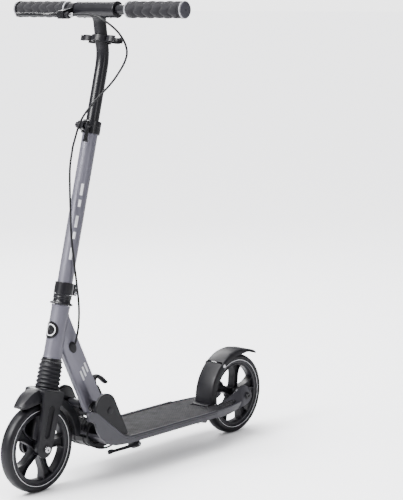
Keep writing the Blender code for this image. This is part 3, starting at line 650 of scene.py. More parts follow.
def lights():
    turn = Euler((math.radians(-12), math.radians(-24), 0)).to_matrix().to_4x4()
    sun = placed("sky_glow", bpy.data.lights.new("sky_glow", "SUN"), turn)
    sun.data.energy = 2.3
    sun.data.angle = math.radians(50)
    target = Vector((-0.1, 0, 0.45))
    for name, spot, size, power in (
        ("key", (-2.9, 0.6, 2.6), 1.3, 250),
        ("side", (-0.6, -3.4, 1.7), 1.0, 16),
        ("rim", (1.6, 2.4, 2.2), 1.6, 80),
        ("top", (-0.3, 0.5, 3.4), 1.6, 80),
    ):
        lamp = bpy.data.lights.new(name, "AREA")
        lamp.shape = "DISK"
        lamp.size = size
        lamp.energy = power
        placed(name, lamp, facing(spot, target - Vector(spot)))


# ---------------------------------------------------------------- wheels


def spoke(turn):
    """An H-section spoke that flares into the hub and the rim."""
    loops = []
    for i in range(13):
        out = 12 + 62 * i / 12
        half = 8.6 + 2.4 * max(0, (26 - out) / 14) ** 2 + 9.0 * max(0, (out - 46) / 28) ** 2
        deep = 9.6 + 1.6 * max(0, (out - 50) / 24)
        web = 3.4
        lip = 2.6
        section = [(-half, -deep), (lip - half, -deep), (lip - half + 0.8, -web), (half - lip - 0.8, -web)]
        section += [(half - lip, -deep), (half, -deep)]
        section += [(-a, -b) for a, b in section]
        loop = []
        for a, b in section:
            x, z = swing(a, out, turn)
            loop.append((x, b, z))
        loops.append(loop)
    return loft(loops)


def wheel(prefix, body, where, first):
    half = [
        (82.4, 12.4), (83.4, 13.3), (86.6, 14.2), (87.6, 14.35), (88.0, 13.95), (88.6, 13.95), (89.0, 14.5)
    ]
    half += [(92.5, 14.7), (95.2, 13.8), (97.4, 11.9), (98.9, 8.8), (99.7, 5.0), (100.0, 1.5)]
    skin = lathe(both_ways(half[::-1]), "Y", sides=144)
    piece(f"{prefix}_tyre_skin", [skin], "tyre", body, where, [f"{prefix}_tyre"])

    rim = [
        (71.4, 5), (71.8, 8.6), (73.6, 11.6), (75.2, 12.1), (76.2, 11.6), (77.0, 10.9), (79.4, 11.1),
        (80.4, 12.2), (82.1, 12.2)
    ]
    hub = [(11.2, 9), (11.2, 15.2), (12.4, 16.6), (14.6, 17.2), (16.4, 16.4), (17.2, 14.6), (17.8, 6)]
    shapes = [lathe(both_ways(rim), "Y", sides=144), lathe(both_ways(hub), "Y", sides=72)]
    shapes += [spoke(first + math.tau * i / SPOKES) for i in range(SPOKES)]
    piece(f"{prefix}_wheel_cast", shapes, "wheel", body, where, [f"{prefix}_wheel_core"], 0.7)

    channel = [(-1.6, 33), (-4.6, 50), (-8.4, 63), (-11.2, 69.5), (0, 71.6)]
    channel += [(-across, out) for across, out in reversed(channel[:-1])] + [(0, 30.5)]
    channels = []
    for k in range(SPOKES):
        loop = [swing(across, out, first + math.tau * k / SPOKES) for across, out in channel]
        channels += pair(rounded(loop, 2, 2), 3.0, 3.9)
    piece(f"{prefix}_spoke_channels", channels, "net", body, where)

    lines = [hoop(84.4, 85.8, *span(side, 13.4, 14.02), "Y", sides=144, edge=0.2) for side in BOTH]
    piece(f"{prefix}_tyre_line", lines, "print", body, where)

    for side, label in SIDES:
        ring = [
            (4.4, 10), (11, 10), (11, 16.6), (10.6, 17), (9.4, 17), (9.2, 16.4), (6.6, 16.4), (6.4, 17),
            (4.4, 17)
        ]
        piece(
            f"{prefix}_bearing_race_{label}", [turned(ring, side, 48)], "steel", body, where,
            [f"{prefix}_bearing_{label}"]
        )


def bolt_head(side, foot, top, radius=7.5, socket=3.0):
    profile = [(0, top - 2.6), (socket, top - 2.6), (socket, top - 0.3), (socket + 0.3, top)]
    profile += [
        (radius - 1.1, top), (radius - 0.2, top - 0.9), (radius, top - 1.8), (radius, foot), (0, foot)
    ]
    return [(r, side * y) for r, y in profile]


def axles():
    front = [rod(4, -31.5, 31.5, "Y")]
    front += [lathe(bolt_head(side, 31.8, 36), "Y", sides=48) for side in BOTH]
    piece("front_axle_chrome", front, "steel", "fork", COLUMN, ["front_axle_bolt"])
    rear = [rod(4, -50, 50, "Y")]
    rear += [lathe(bolt_head(side, 50.3, 54.5), "Y", sides=48) for side in BOTH]
    for side in BOTH:
        rear.append(rod(7, *span(side, 17.6, 43.7), "Y"))
        rear.append(rod(9.5, *span(side, 50.4, 51.6), "Y"))
    piece("rear_axle_caps", rear, "black", "deck", REAR_HUB, ["rear_axle_bolt"])


# ---------------------------------------------------------------- fork


def leg_plate(grow):
    outline = [(-35 - grow, 128), (-35.5 - grow, 112), (-32 - grow, 92), (-29 - grow, 50)]
    outline += arc((-5, 2), 22 + grow, -92, -268, 16)
    outline += [(19 + grow, 50), (20.5 + grow, 92), (25.5 + grow, 112), (25.5 + grow, 128)]
    return outline


def leg_window(shrink):
    """The long slot in each leg, with round ends."""
    top = arc((-5, 88), 8.6 - shrink, -90, 90, 12)
    return top + arc((-6, 32), 7.4 - shrink, 90, 270, 12)


def fork():
    crown = rounded([(-36, 117.5), (26, 117.5), (26, 126), (18, 131), (-26, 131), (-36, 126)], 3)
    shapes = [prism(crown, -30.6, 30.6)]
    shapes += pair(leg_plate(-1.5), 19.5, 25.2)
    shapes.append(rod(11.9, 128, 262, sides=48))
    collar = [(11, 130), (29, 130), (29.4, 131.2), (28.4, 132.2), (26.8, 132.2), (26, 131.2), (11, 131.2)]
    shapes.append(lathe(collar, sides=72))
    piece("fork_casting", shapes, "black", "fork", COLUMN, ["fork_crown_and_legs"], 1.2)
    for side, label in SIDES:
        plate = prism(leg_plate(0), *span(side, 25.3, 31.4))
        hole = prism(leg_window(0), *span(side, 28.0, 33))
        cad = [f"fork_cover_{label}"]
        piece(f"fork_leg_cover_{label}", [plate], "plastic", "fork", COLUMN, cad, 1.3, cut=[hole])
        net = prism(leg_window(0.1), *span(side, 27.4, 28.3))
        piece(f"fork_leg_net_{label}", [net], "net", "fork", COLUMN)
        seat = hoop(7.7, 10.2, *span(side, 31.2, 32.0), "Y", sides=48)
        piece(f"fork_bolt_seat_{label}", [seat], "plastic", "fork", COLUMN)


def hood_section(half, top, skirt, crown, wall=2.6):
    """The hooped section of a fender: (y, radius) points, outside then inside."""
    outer = [(-half, skirt), (-half, top - 6), (-half + 2, top - 2.2), (-half + 7, top), (0, top + crown)]
    inner = [
        (-half + wall, skirt), (-half + wall, top - 6.6), (-half + wall + 2, top - 3.6),
        (-half + 7, top - wall), (0, top + crown - wall)
    ]
    right = [(-y, r) for y, r in reversed(outer[:-1])]
    inside = [(-y, r) for y, r in inner[:-1]] + [inner[-1]] + [(y, r) for y, r in reversed(inner[:-1])]
    return outer + right + inside


def fanned(degrees, section):
    """(y, radius) points stood up at an angle from straight up, about the wheel's axle."""
    turn = math.radians(degrees)
    return [(r * math.sin(turn), y, r * math.cos(turn)) for y, r in section]


def hood(stations):
    """A fender from stations of (degrees from up, half width, top radius, skirt radius, crown)."""
    loops = []
    for degrees, half, top, skirt, crown in stations:
        loops.append(fanned(degrees, hood_section(half, top, skirt, crown)))
    return loft(loops)


def smooth_stations(rows, steps=5):
    """The rows with evenly spaced ones between them."""
    result = []
    for a, b in zip(rows, rows[1:]):
        for k in range(steps):
            t = k / steps
            result.append([p + (q - p) * t for p, q in zip(a, b)])
    return result + [rows[-1]]


def visor():
    """The bulky nose of the front fender, from the crown's front face to its tip."""
    rows = [
        (-16, 22.6, 133, 104), (-20, 24.2, 132.8, 104), (-26, 24.4, 130.8, 104), (-31, 23.6, 127.8, 104.6)
    ]
    rows += [(-36, 21.8, 124, 105.6), (-40, 18.8, 120.6, 107), (-43.4, 14.8, 117.4, 109.6)]
    loops = []
    for degrees, half, top, low in smooth_stations(rows, 3):
        cheek = low + (top - low) * 0.45
        right = [
            (half * 0.86, low), (half, low + 1.8), (half * 0.985, cheek), (half * 0.66, top - 1.6),
            (half * 0.34, top)
        ]
        section = [(-y, r) for y, r in right] + [(0, top + 0.5)] + right[::-1]
        loops.append(fanned(degrees, section))
    return loft(loops)


def tail_strip():
    """The strip behind the fork: a hoop with raised edges and a recess between, ending square."""
    loops = []
    rows = [(-12, 106, 116), (12, 105, 117), (26, 104.5, 120), (38, 104, 123.4), (50, 103.6, 124.4)]
    rows += [(62, 103.2, 122.4), (70, 103.2, 119.6), (71.5, 103.4, 118)]
    for degrees, low, top in smooth_stations(rows, 5):
        dip = 2.2 if 30 < degrees < 66 else 0.0
        right = [
            (17.6, low), (18.8, low + 1.2), (18.8, top - 1.6), (17.4, top), (14.2, top), (13.2, top - dip)
        ]
        section = [(-y, r) for y, r in right] + right[::-1]
        loops.append(fanned(degrees, section))
    return loft(loops)


def front_fender():
    piece(
        "front_fender_shell", [visor(), tail_strip()], "plastic", "fork", COLUMN, ["front_fender"], 0.9, 3,
        32
    )


def suspension():
    """The pleated bellows with the coil spring inside."""
    pleats = 6
    low, high = 131.5, 186.0
    outer = []
    steps = 12
    for i in range(pleats * steps + 1):
        t = i / (pleats * steps)
        wave = 0.5 - 0.5 * math.cos(math.tau * pleats * t)
        outer.append((23.4 + 1.2 * (1 - t) + 3.0 * wave**0.8, low + (high - low) * t))
    profile = [(21.8, low)] + outer + [(23.2, 187.2), (23.2, 189.2), (21.8, 189.2)]
    bend = ("steering", COLUMN @ Vector((0, 0, 0.132)), COLUMN @ Vector((0, 0, 0.186)))
    piece(
        "bellows_boot", [lathe(profile, sides=96)], "plastic", "fork", COLUMN, ["suspension_bellows"],
        bend=bend
    )
    turns, radius = 4, 17.5
    path = []
    for i in range(turns * 24 + 1):
        turn = math.tau * i / 24
        path.append((radius * math.cos(turn), radius * math.sin(turn), 133.4 + 50.6 * i / (turns * 24)))
    piece("spring_coil", [tube(path, 1.9, 12)], "steel", "fork", COLUMN, ["suspension_spring"], bend=bend)


# ---------------------------------------------------------------- column


def steering():
    sleeve = [(12.3, 186.2), (19.5, 186.2), (19.5, 189.4), (15, 189.4), (15, 372), (12.3, 372)]
    piece("steerer_sleeve", [lathe(sleeve)], "steel", "steering", COLUMN, ["steerer_tube"])
    stem = [(15.3, 342), (17.25, 342), (17.25, 720), (16.9, 720.5), (15.3, 720.5)]
    piece("stem_lower", [lathe(stem, sides=96)], "paint", "steering", COLUMN, ["lower_stem_tube"])


def headset_top():
    ring = [
        (15.5, 318.4), (23.4, 318.4), (25.2, 319.2), (25.8, 321), (25.2, 322.8), (22.4, 323.6),
        (20.6, 324.6)
    ]
    ring += [
        (19.8, 326.5), (19.6, 331), (20.6, 332.2), (20.8, 335), (20.2, 336.6), (20.6, 338), (20.9, 341.6),
        (15.5, 341.6)
    ]
    shapes = [lathe(ring, sides=96)]
    for side in BOTH:
        ear = arc((0, side * 25), 4.6, 0, 360, 20)[:-1]
        shapes.append(prism(ear, 318.8, 323.4, "Z"))
    piece("headset_top", shapes, "black", "steering", COLUMN, ["headset_ring"], 0.4, 2, 28)


def stem_collar():
    shell = hoop(17.6, 21.2, 342, 368.4, sides=96, edge=0.7)
    ears = prism(rounded([(18.5, 342.4), (34, 342.4), (34, 368), (18.5, 368)], 2.5), -9, 9)
    slit = block((16, -1.2, 340), (36, 1.2, 371))
    bore = rod(17.6, 335, 375, sides=96)
    piece(
        "stem_collar", [shell], "black", "steering", COLUMN, ["stem_clamp_collar"], 0.5, 2, join=[ears],
        cut=[bore, slit]
    )
    for label, height in (("lower", 348.5), ("upper", 362)):
        spot = (28, 0, height)
        shapes = [lathe(bolt_head(-1, 9.2, 12.5, 4.5, 2.2), "Y", spot, 36), rod(2.5, -9.4, 11, "Y", spot)]
        piece(f"collar_screw_{label}", shapes, "steel", "steering", COLUMN, [f"collar_bolt_{label}"])


def stem_dashes():
    dashes = []
    for k, long in enumerate((26, 16, 26, 16, 26)):
        low = 590 - 36 * k
        dashes.append(band(17.2, 17.34, low - long, low, 223, 243, "Z"))
    piece("stem_dashes", dashes, "print", "steering", COLUMN)


def quick_clamp():
    """The clamp at the top of the stem, its skewer with a nut, and the lever that locks it."""
    shell = [
        (17.6, 703.3), (20.6, 703.3), (21.3, 704.2), (21.3, 719), (20.9, 719.6), (21.3, 720.2),
        (21.3, 730.5), (20.4, 732.6), (14.85, 732.6), (14.85, 720.9), (17.6, 720.9)
    ]
    ears = prism(rounded([(-36, 709), (-18, 706), (-18, 730), (-36, 727)], 4), -9, 9)
    slit = block((-38, -1.4, 700), (-13, 1.4, 735))
    bore = lathe([(0, 690), (17.6, 690), (17.6, 720.9), (14.85, 720.9), (14.85, 740), (0, 740)], sides=96)
    piece(
        "stem_quick_clamp", [lathe(shell, sides=96)], "black", "steering", COLUMN, ["quick_clamp"], 0.5, 2,
        join=[ears], cut=[bore, slit]
    )
    nut = [
        (0, 9.4), (7.2, 9.4), (7.5, 10), (7.5, 16.4), (6.6, 17.2), (5, 17.6), (5, 19.4), (3.2, 21), (0, 21)
    ]
    shapes = [
        rod(2.6, -16.5, 10, "Y", CLAMP_SPOT), lathe(nut, "Y", CLAMP_SPOT, 12),
        rod(1.9, -6.4, 6.4, "X", LATCH_SPOT)
    ]
    piece("clamp_skewer", shapes, "black", "steering", COLUMN, ["quick_release_skewer"], 0.3, 2)
    barrel = rod(5.4, -6, 6, "X", LATCH_SPOT, 40, 0.8)
    blade = prism(
        rounded([(-17, 717), (-12.6, 717), (-13.6, 700), (-13.8, 686), (-17.6, 686), (-17.4, 700)], 1.5),
        -32.4, -23.6, "X"
    )
    slot = block((-31.2, -18.6, 714.2), (-24.8, -5.8, 726))
    tip = tube([(-33.5, -16, 684), (-22.5, -16, 684)], 3.2, 24)
    piece(
        "clamp_lever", [barrel], "black", "quick_release", COLUMN, ["quick_release_lever"], 0.4, 2,
        join=[blade, tip], cut=[slot]
    )


# ---------------------------------------------------------------- bars


def bend_path():
    """The upper tube's middle line, straight and then bent forward."""
    path = [(0, 0, 560), (0, 0, 700), (0, 0, 820), (0, 0, 848)]
    a, b, c = Vector((0, 0, 848)), Vector((0, 0, 884)), Vector(BEND_END)
    path += [(1 - t) ** 2 * a + 2 * t * (1 - t) * b + t * t * c for t in (k / 10 for k in range(1, 11))]
    return [Vector(p) for p in path]


def button_spot(side):
    return (BAR_SPOT[0], side * BUTTON_REACH, BAR_SPOT[2])


def handlebar():
    upper = tube(bend_path() + [Vector((-40.3, 0, 976.5))], 14.5, 64)
    bore = rod(12.3, 540, 830, sides=48)
    piece("upper_tube", [upper], "black", "handlebar", COLUMN, ["upper_tube_and_tee"], cut=[bore])
    tee = [
        (11.4, -60), (17.2, -60), (18.5, -59.2), (18.9, -57.6), (18.4, -55.8), (18.4, 55.8), (18.9, 57.6),
        (18.5, 59.2), (17.2, 60), (11.4, 60)
    ]
    neck = []
    for k in range(9):
        t = k / 8
        centre = Vector(BEND_END).lerp(Vector(BAR_SPOT), 0.66 + 0.16 * t)
        radius = 14.6 + 3.4 * t**2.2
        neck.append((centre, radius))
    flare = tube([c for c, _ in neck], [r for _, r in neck], 64)
    shapes = [lathe(tee, "Y", BAR_SPOT, 96)]
    holes = [rod(4.3, -25, -8, "Z", button_spot(side)) for side in BOTH]
    bore = rod(11.4, -65, 65, "Y", BAR_SPOT, 64)
    piece("tee_head", shapes, "black", "handlebar", COLUMN, join=[flare], cut=[bore, *holes])
    for side, label in SIDES:
        button = [(0, -20.3), (2.8, -20.0), (3.8, -19.0), (4.0, -17.8), (4.0, -14.0), (0, -14.0)]
        piece(
            f"press_button_{label}", [
                lathe(button, "Z", button_spot(side), 40)
            ], "steel", f"{label}_button", COLUMN,
            [f"handle_button_{label}"]
        )


def grip_clips():
    """Two open clips on one ring, which hold the handles when they are put away."""
    centre = CLIP_CENTRE
    shapes = [hoop(19.6, 23, 908, 922, centre=(centre, 0, 0), sides=96)]
    for side in BOTH:
        points = []
        for radius, turns in ((16.4, range(-138, 139, 12)), (12.9, range(138, -139, -12))):
            for turn in turns:
                angle = math.radians(turn)
                points.append((centre + radius * math.sin(angle), side * (36 - radius * math.cos(angle))))
        shapes.append(prism(points, 908.4, 921.6, "Z"))
        for end in (-1, 1):
            tip = (centre + end * 9.9, side * 47.2)
            lip = [
                (tip[0] - 2, tip[1] - side), (tip[0] + 2.2, tip[1] - side * 2),
                (tip[0] + 4.4 * end, tip[1] + side * 4.6), (tip[0] + 2.2 * end, tip[1] + side * 5)
            ]
            shapes.append(prism(rounded(lip, 1), 909, 921, "Z"))
        web = [
            (centre - 7, side * 20.4), (centre + 7, side * 20.4), (centre + 5, side * 23.4),
            (centre - 5, side * 23.4)
        ]
        shapes.append(prism(web, 909, 921, "Z"))
    piece("grip_clip_pair", shapes, "plastic", "handlebar", COLUMN, ["grip_clip_bracket"], 0.5, 2)


def scalloped_grip(side):
    """Foam with rows of shallow, wavy-edged scallops."""
    loops = []
    near, far = 95.4, 246.0
    rows, around = 124, 72
    for i in range(rows + 1):
        y = near + (far - near) * i / rows
        ends = min(1.0, (y - near) / 2.5, (far - y) / 2.5)
        loop = []
        for k in range(around):
            turn = math.tau * k / around
            phase = (y - near) / 25.1 + 0.13 * math.cos(5 * turn)
            ridge = abs(math.sin(math.pi * phase)) ** 0.55
            lobes = 0.5 + 0.5 * math.cos(8 * turn + math.pi * math.floor(phase))
            r = 15.6 + ends * (0.4 + 2.3 * ridge + 0.6 * lobes * ridge)
            loop.append((r * math.sin(turn), side * y, -r * math.cos(turn)))
        loops.append(loop)
    return loft(loops)


def handles():
    for side, label in SIDES:
        body = f"{label}_handle"
        wall = [(9.2, 5), (10.6, 5), (11, 5.4), (11, 250), (9.2, 250)]
        piece(f"handle_rod_{label}", [turned(wall, side, 72)], "black", body, BAR, [f"handle_tube_{label}"])
        piece(f"grip_foam_{label}", [scalloped_grip(side)], "foam", body, BAR, [f"grip_{label}"])
        collar = [(11.3, 91.2), (17.4, 91.2), (18.4, 92), (18.6, 94.6), (17.8, 95.8), (11.3, 95.8)]
        outer = [(11.3, 250.6), (18.2, 250.6), (18.9, 251.4), (18.9, 253.4), (18.3, 254.1), (11.3, 254.1)]
        rings = [turned(collar, side), turned(outer, side)]
        piece(f"grip_rings_{label}", rings, "silver", body, BAR)
        dark = [(11.3, 245.8), (17.9, 245.8), (18.8, 246.8), (18.8, 249.8), (18.0, 250.6), (11.3, 250.6)]
        piece(f"grip_end_band_{label}", [turned(dark, side)], "plastic", body, BAR)
        disc = [
            (0, 254.4), (1.5, 254.4), (1.7, 255.6), (2.4, 256.0), (15.8, 256.2), (16.9, 255.5),
            (17.1, 254.0), (8.8, 253.6), (8.8, 238), (0, 238)
        ]
        piece(f"grip_end_disc_{label}", [turned(disc, side)], "cap", body, BAR, [f"grip_cap_{label}"])


def hand_brake():
    """The brake's clamp on the right handle, with its pivot, adjuster and blade."""
    clamp = hoop(11.35, 15.4, 66.6, 85.3, "Y", sides=72, edge=0.8)
    arm = rounded([(-44, -21), (-23, -21), (-10, -13), (-9, 6), (-24, 1), (-44, -3)], 3)
    nose = tube([(-35, 68.5, -12), (-35, 57, -12)], 6.4, 32)
    bore = rod(11.35, 55, 95, "Y", sides=72)
    slot = block((-50, 69.6, -17.3), (-17.5, 92, -6.7))
    piece(
        "brake_body", [clamp], "plastic", "right_handle", BAR, ["brake_perch"], 0.7, 2,
        join=[prism(arm, 67, 85), nose], cut=[bore, slot]
    )
    pin = [
        rod(2.0, -21.4, -2.4, "Z", LEVER_SPOT),
        lathe([(0, -2.6), (3.6, -2.6), (3.6, -1.6), (2.6, -0.9), (0, -0.9)], "Z", LEVER_SPOT, 32)
    ]
    piece("brake_pivot", pin, "steel", "right_handle", BAR, ["brake_lever_pin"])
    knurl = [(1.6, 44), (3.9, 44), (4.2, 44.5), (4.2, 51.2), (3.4, 52), (3.4, 56.7), (1.6, 56.7)]
    piece(
        "cable_adjuster", [lathe(knurl, "Y", (-35, 0, -12), 28)], "steel", "right_handle", BAR,
        ["barrel_adjuster"]
    )

    spine = [
        (-36, 79, -12), (-36.5, 92, -12), (-39.5, 108, -12), (-45, 128, -12), (-49, 150, -12),
        (-51.2, 176, -12), (-51, 197, -12), (-52.5, 207, -12)
    ]
    path = curve([Vector(p) for p in spine], 5)
    radii = []
    for i in range(len(path)):
        t = i / (len(path) - 1)
        radii.append(3.9 - 1.2 * min(1, t * 3) - 1.0 * max(0, t - 0.3) + (1.1 if t > 0.95 else 0))
    blade = tube(path, radii, 24, 1.7, side=(1, 0, 0))
    root = prism(
        rounded([(-42.4, 71.8), (-30, 71.8), (-30.5, 88), (-36, 98), (-42.4, 88)], 2.5), -17, -7, "Z"
    )
    hole = rod(2.25, -40, 0, "Z", LEVER_SPOT)
    piece(
        "brake_blade", [root], "gloss", "hand_brake", BAR, ["brake_lever"], 0.5, 2, join=[blade], cut=[hole]
    )


def cable(name, route, radius, first, second, start, end, where, cad):
    """A cable along route. It rides no body and stays where it is made."""
    bend = (second, where @ (Vector(start) * MM), where @ (Vector(end) * MM))
    piece(name, [tube(route, radius, 16)], "cable", first, where, cad, bend=bend)


def cables():
    upper = [(-71, 43.3, 956), (-76, -7, 955), (-73, -47, 947), (-48, -85, 919), (-24, -93, 880)]
    upper += [(-26, -71, 825), (-40, -35, 769), (-46, -10, 724), (-47, 0, 667)]
    route = curve(upper, 5)
    middle = min(range(len(route)), key=lambda i: (route[i] - Vector(upper[3])).length)
    near, far = route[: middle + 1], route[middle:]
    cable(
        "cable_bar", near, CABLE_RADIUS, "right_handle", "handlebar", near[0], near[-1], COLUMN,
        ["brake_cable_upper"]
    )
    cable("cable_mast", far, CABLE_RADIUS, "handlebar", "steering", far[0], far[-1], COLUMN, [])
    lower = [(-47, 0, 667), (-46, -1, 621), (-38, -4, 573), (-30, -10, 523), (-24, -19, 471)]
    lower += [
        (-9, -24, 421), (9, -27, 371), (25, -29, 326), (37, -27, 284), (41, -24.5, 246), (41, -21, 236)
    ]
    cable(
        "cable_stem", curve(lower, 6), CABLE_RADIUS, "steering", "frame", lower[4], lower[-1], COLUMN,
        ["brake_cable_lower"]
    )
    under = [
        (152, -24, 134), (138, -31, 128), (127, -34, 116), (124, -34, 104), (130, -34, 91), (144, -34, 78)
    ]
    under += [(162, -33, 70), (182, -31, 66), (208, -26, 65), (240, -16, 69), (290, -6, 72)]
    under += [(420, 0, 72), (500, 0, 66), (545, 0, 54)]
    route = curve(under, 5)
    clip = min(range(len(route)), key=lambda i: (route[i] - Vector(under[4])).length)
    cable(
        "cable_fold", route[: clip + 1], 2.2, "frame", "deck", under[0], under[4], CHASSIS,
        ["brake_cable_under"]
    )
    piece("cable_under_deck", [tube(route[clip:], 2.2, 16)], "cable", "deck")


# ---------------------------------------------------------------- front frame


def tube_section(shrink=0.0):
    """The down tube's section: flat sides, with the front edges cut back."""
    outline = [(24, -17), (24, 17), (-9, 17), (-24, 8.5), (-24, -8.5), (-9, -17)]
    outline = rounded(outline, 5.5, 5)
    scale = 1 - shrink
    return [(x * scale, y * scale) for x, y in outline]


def inside_tube():
    return prism(tube_section(0.14), -30, 168, "Z")


def down_tube():
    """The down tube, cut to the head tube's round face and hollow at its foot."""
    section = tube_section()
    down = loft([[(x, y, -17 + 279 * k / 31) for x, y in section] for k in range(32)])
    barrel = rod(11.35, -40, 40, "Y", TUBE_PIVOT, 48)
    obj = piece("down_tube", [down], "paint", "frame", TUBE, cut=[inside_tube(), barrel])
    boolean(
        obj, "DIFFERENCE", [block((-90, -60, 120), (0, 60, 460)), rod(19.6, 100, 420, sides=96)], COLUMN
    )
    finish_edges(obj, "paint")


def head_tube():
    head = [
        (16, 198.5), (20.4, 198.5), (20.9, 199.2), (20.9, 203), (20.3, 204.2), (20.2, 312), (20.8, 313.2),
        (20.8, 317.4), (20.3, 318), (16, 318)
    ]
    piece("head_tube", [lathe(head, sides=128)], "paint", "frame", COLUMN, ["main_frame"])


def weld_bead():
    """A thin bead where each line along the down tube first meets the head tube."""
    to_tube = COLUMN.inverted() @ TUBE
    bead = []
    for x, y in tube_section():
        start, step = to_tube @ (Vector((x, y, 0)) * MM), (to_tube.to_3x3() @ Vector((0, 0, 1))) * MM
        lowest = None
        for k in range(60, 300):
            spot = start + step * k
            if math.hypot(spot.x, spot.y) < 0.0202:
                lowest = spot / MM
                break
        if lowest is not None:
            bead.append(lowest)
    if len(bead) > 8:
        closed = bead + bead[:1]
        piece("weld_bead", [tube(closed, 1.5, 10)], "paint", "frame", COLUMN)


def headset_cup():
    cup = [
        (15.5, 189.9), (23, 189.9), (24.6, 190.8), (25, 192.4), (24.2, 193.6), (22.6, 194.2), (22.4, 197.4),
        (21.8, 198.1), (15.5, 198.1)
    ]
    piece("headset_cup", [lathe(cup, sides=96)], "gloss", "frame", COLUMN, ["headset_lower_cup"])


def release_ears():
    ear = rounded([(22, -7), (31, -6), (35.5, 2), (31, 9), (22, 12)], 3)
    for side, label in SIDES:
        plate = prism(ear, *span(side, 9.4, 12.8))
        piece(f"release_ear_{label}", [plate], "paint", "frame", TUBE, bevel=0.5)


def hinge_barrel():
    """The barrel that turns on the fold's pin, and the band round the tube's end."""
    barrel = [hoop(5.4, 11, -57, 57, "Y", TUBE_PIVOT, 64, 0.8)]
    for side in BOTH:
        barrel.append(hoop(10.8, 13.5, *span(side, 17.6, 22), "Y", TUBE_PIVOT, 64, 0.8))
    piece("hinge_barrel", barrel, "black", "frame", TUBE, ["fold_hinge_barrel"])
    boot = prism(rounded([(27.5, -17.4), (27.5, -8), (-26.5, -8), (-26.5, -17.4)], 3), -19, 19)
    holes = [inside_tube(), rod(12.4, -40, 40, "Y", TUBE_PIVOT)]
    piece("tube_end_band", [boot], "plastic", "frame", TUBE, bevel=1.2, cut=holes)


def cable_boot():
    dome = [(9.6 * math.cos(math.tau * k / 40), 14.2 * math.sin(math.tau * k / 40)) for k in range(40)]
    loops = []
    for grow, y in ((0.96, -17.2), (1.0, -18.2), (0.97, -19.8), (0.82, -21.2), (0.5, -22.0)):
        loops.append([(-2 + a * grow, y, 163 + b * grow) for a, b in dome])
    piece("cable_boot", [loft(loops)], "plastic", "frame", TUBE, ["cable_grommet"], 0.4, 2)


def tube_marks():
    bars = []
    for k in range(3):
        x, z = -9 + 9.5 * k, 74 + 5 * k
        outline = rounded([(x, z), (x + 5, z), (x + 5, z + 26), (x, z + 26)], 1.2)
        bars += pair(outline, 16.9, 17.12)
    piece("tube_marks", bars, "print", "frame", TUBE)


def finish_edges(obj, finish):
    """Material and smooth faces again, on a piece that was cut after it was made."""
    obj.data.materials.clear()
    obj.data.materials.append(FINISH[finish][0])
    obj.data.shade_smooth()
    obj.data.set_sharp_from_angle(angle=math.radians(40))
    modifier = obj.modifiers.new("shading", "WEIGHTED_NORMAL")
    modifier.keep_sharp = True


def on_head_tube(radius, turn, height, reach):
    """The point that lies reach outwards from the badge's centre, wrapped round the head tube."""
    angle = reach * math.cos(turn) / 20.3
    return (-radius * math.cos(angle), radius * math.sin(angle), height + reach * math.sin(turn))


def badge():
    turns = [math.tau * k / 72 for k in range(72)]
    loops = []
    for reach, radius in (
        (0.4, 21.3), (9, 21.3), (16, 21.4), (17.6, 21.9), (18.9, 21.8), (19.4, 21.1), (19.4, 20.3)
    ):
        loops.append([on_head_tube(radius, turn, BADGE_HEIGHT, reach) for turn in turns])
    piece("badge_disc", [loft(loops)], "gloss", "frame", COLUMN, ["head_badge"], angle=50)
    loops = []
    for reach, radius in ((11.0, 21.2), (11.2, 21.75), (13.4, 21.8), (13.6, 21.2)):
        loops.append([on_head_tube(radius, turn, BADGE_HEIGHT, reach) for turn in turns])
    piece("badge_rim", [loft(loops, ring=True)], "print", "frame", COLUMN, angle=50)


def release_lever():
    spine = [
        (28.6, 0, 4), (28.4, 0, 20), (28.8, 0, 36), (31.5, 0, 45), (38, 0, 48.2), (46, 0, 44), (53, 0, 34),
        (57.6, 0, 23), (60.6, 0, 17.2)
    ]
    path = curve([Vector(p) for p in spine], 3)
    radii = [3.2 + 1.5 * math.sin(min(1, i / (len(path) * 0.6)) * math.pi / 2) for i in range(len(path))]
    shape = tube(path, radii, 28, 1.9, side=(1, 0, 0))
    foot = prism(arc((29.6, 2), 4.9, 90, 270, 12) + [(24.8, 30), (32.6, 30)], -8.8, 8.8)
    pins = rod(2.5, -12.5, 12.5, "Y", (29.6, 0, 2), 32)
    piece(
        "release_hook", [foot], "plastic", "fold_release", TUBE, ["fold_release_lever"], 0.6, 2,
        join=[shape, pins]
    )


# ---------------------------------------------------------------- deck

RAIL_UPPER = [
    (84, 166), (88, 171), (96, 173), (105, 171.5), (122, 162), (142, 146), (170, 124), (192, 106.5),
    (206, 98.5), (222, 94), (240, 93), (532, 93)
]
RAIL_LOWER = [
    (532, 77), (235, 77), (200, 78.5), (172, 81.5), (154, 87), (139, 96), (126, 107), (116, 123),
    (107, 144), (96, 150), (88, 152)
]


def tine(side):
    """The plate that turns up from the deck's side to the rear axle."""
    rows = [
        ((528, 76, 79), (528, 40, 86.5)),
        ((560, 74, 78.5), (560, 28, 88)),
        ((585, 71, 78), (590, 31, 93)),
        ((605, 67, 77.5), (614, 36, 101)),
        ((625, 62, 77), (634, 40, 111)),
        ((645, 57.5, 77), (652, 43, 120)),
        ((662, 53.6, 78), (668, 44.4, 126)),
        ((680, 50.4, 80), (680, 44.6, 126)),
        ((692, 49.8, 87), (691, 45.0, 119)),
        ((698, 49.6, 97), (698, 45.4, 109)),
    ]
    loops = []
    for low, high in rows:
        a, b = Vector(low), Vector(high)
        across = (b - a).normalized()
        normal = Vector((0, -across.z, across.y)).normalized()
        if normal.z > 0:
            normal = -normal
        thick = 4.2
        mid = a.lerp(b, 0.5) + normal * -1.2
        loop = [a, mid, b, b + normal * thick, mid + normal * thick, a + normal * thick]
        loops.append([(p.x, side * p.y, p.z) for p in loop])
    return loft(loops)


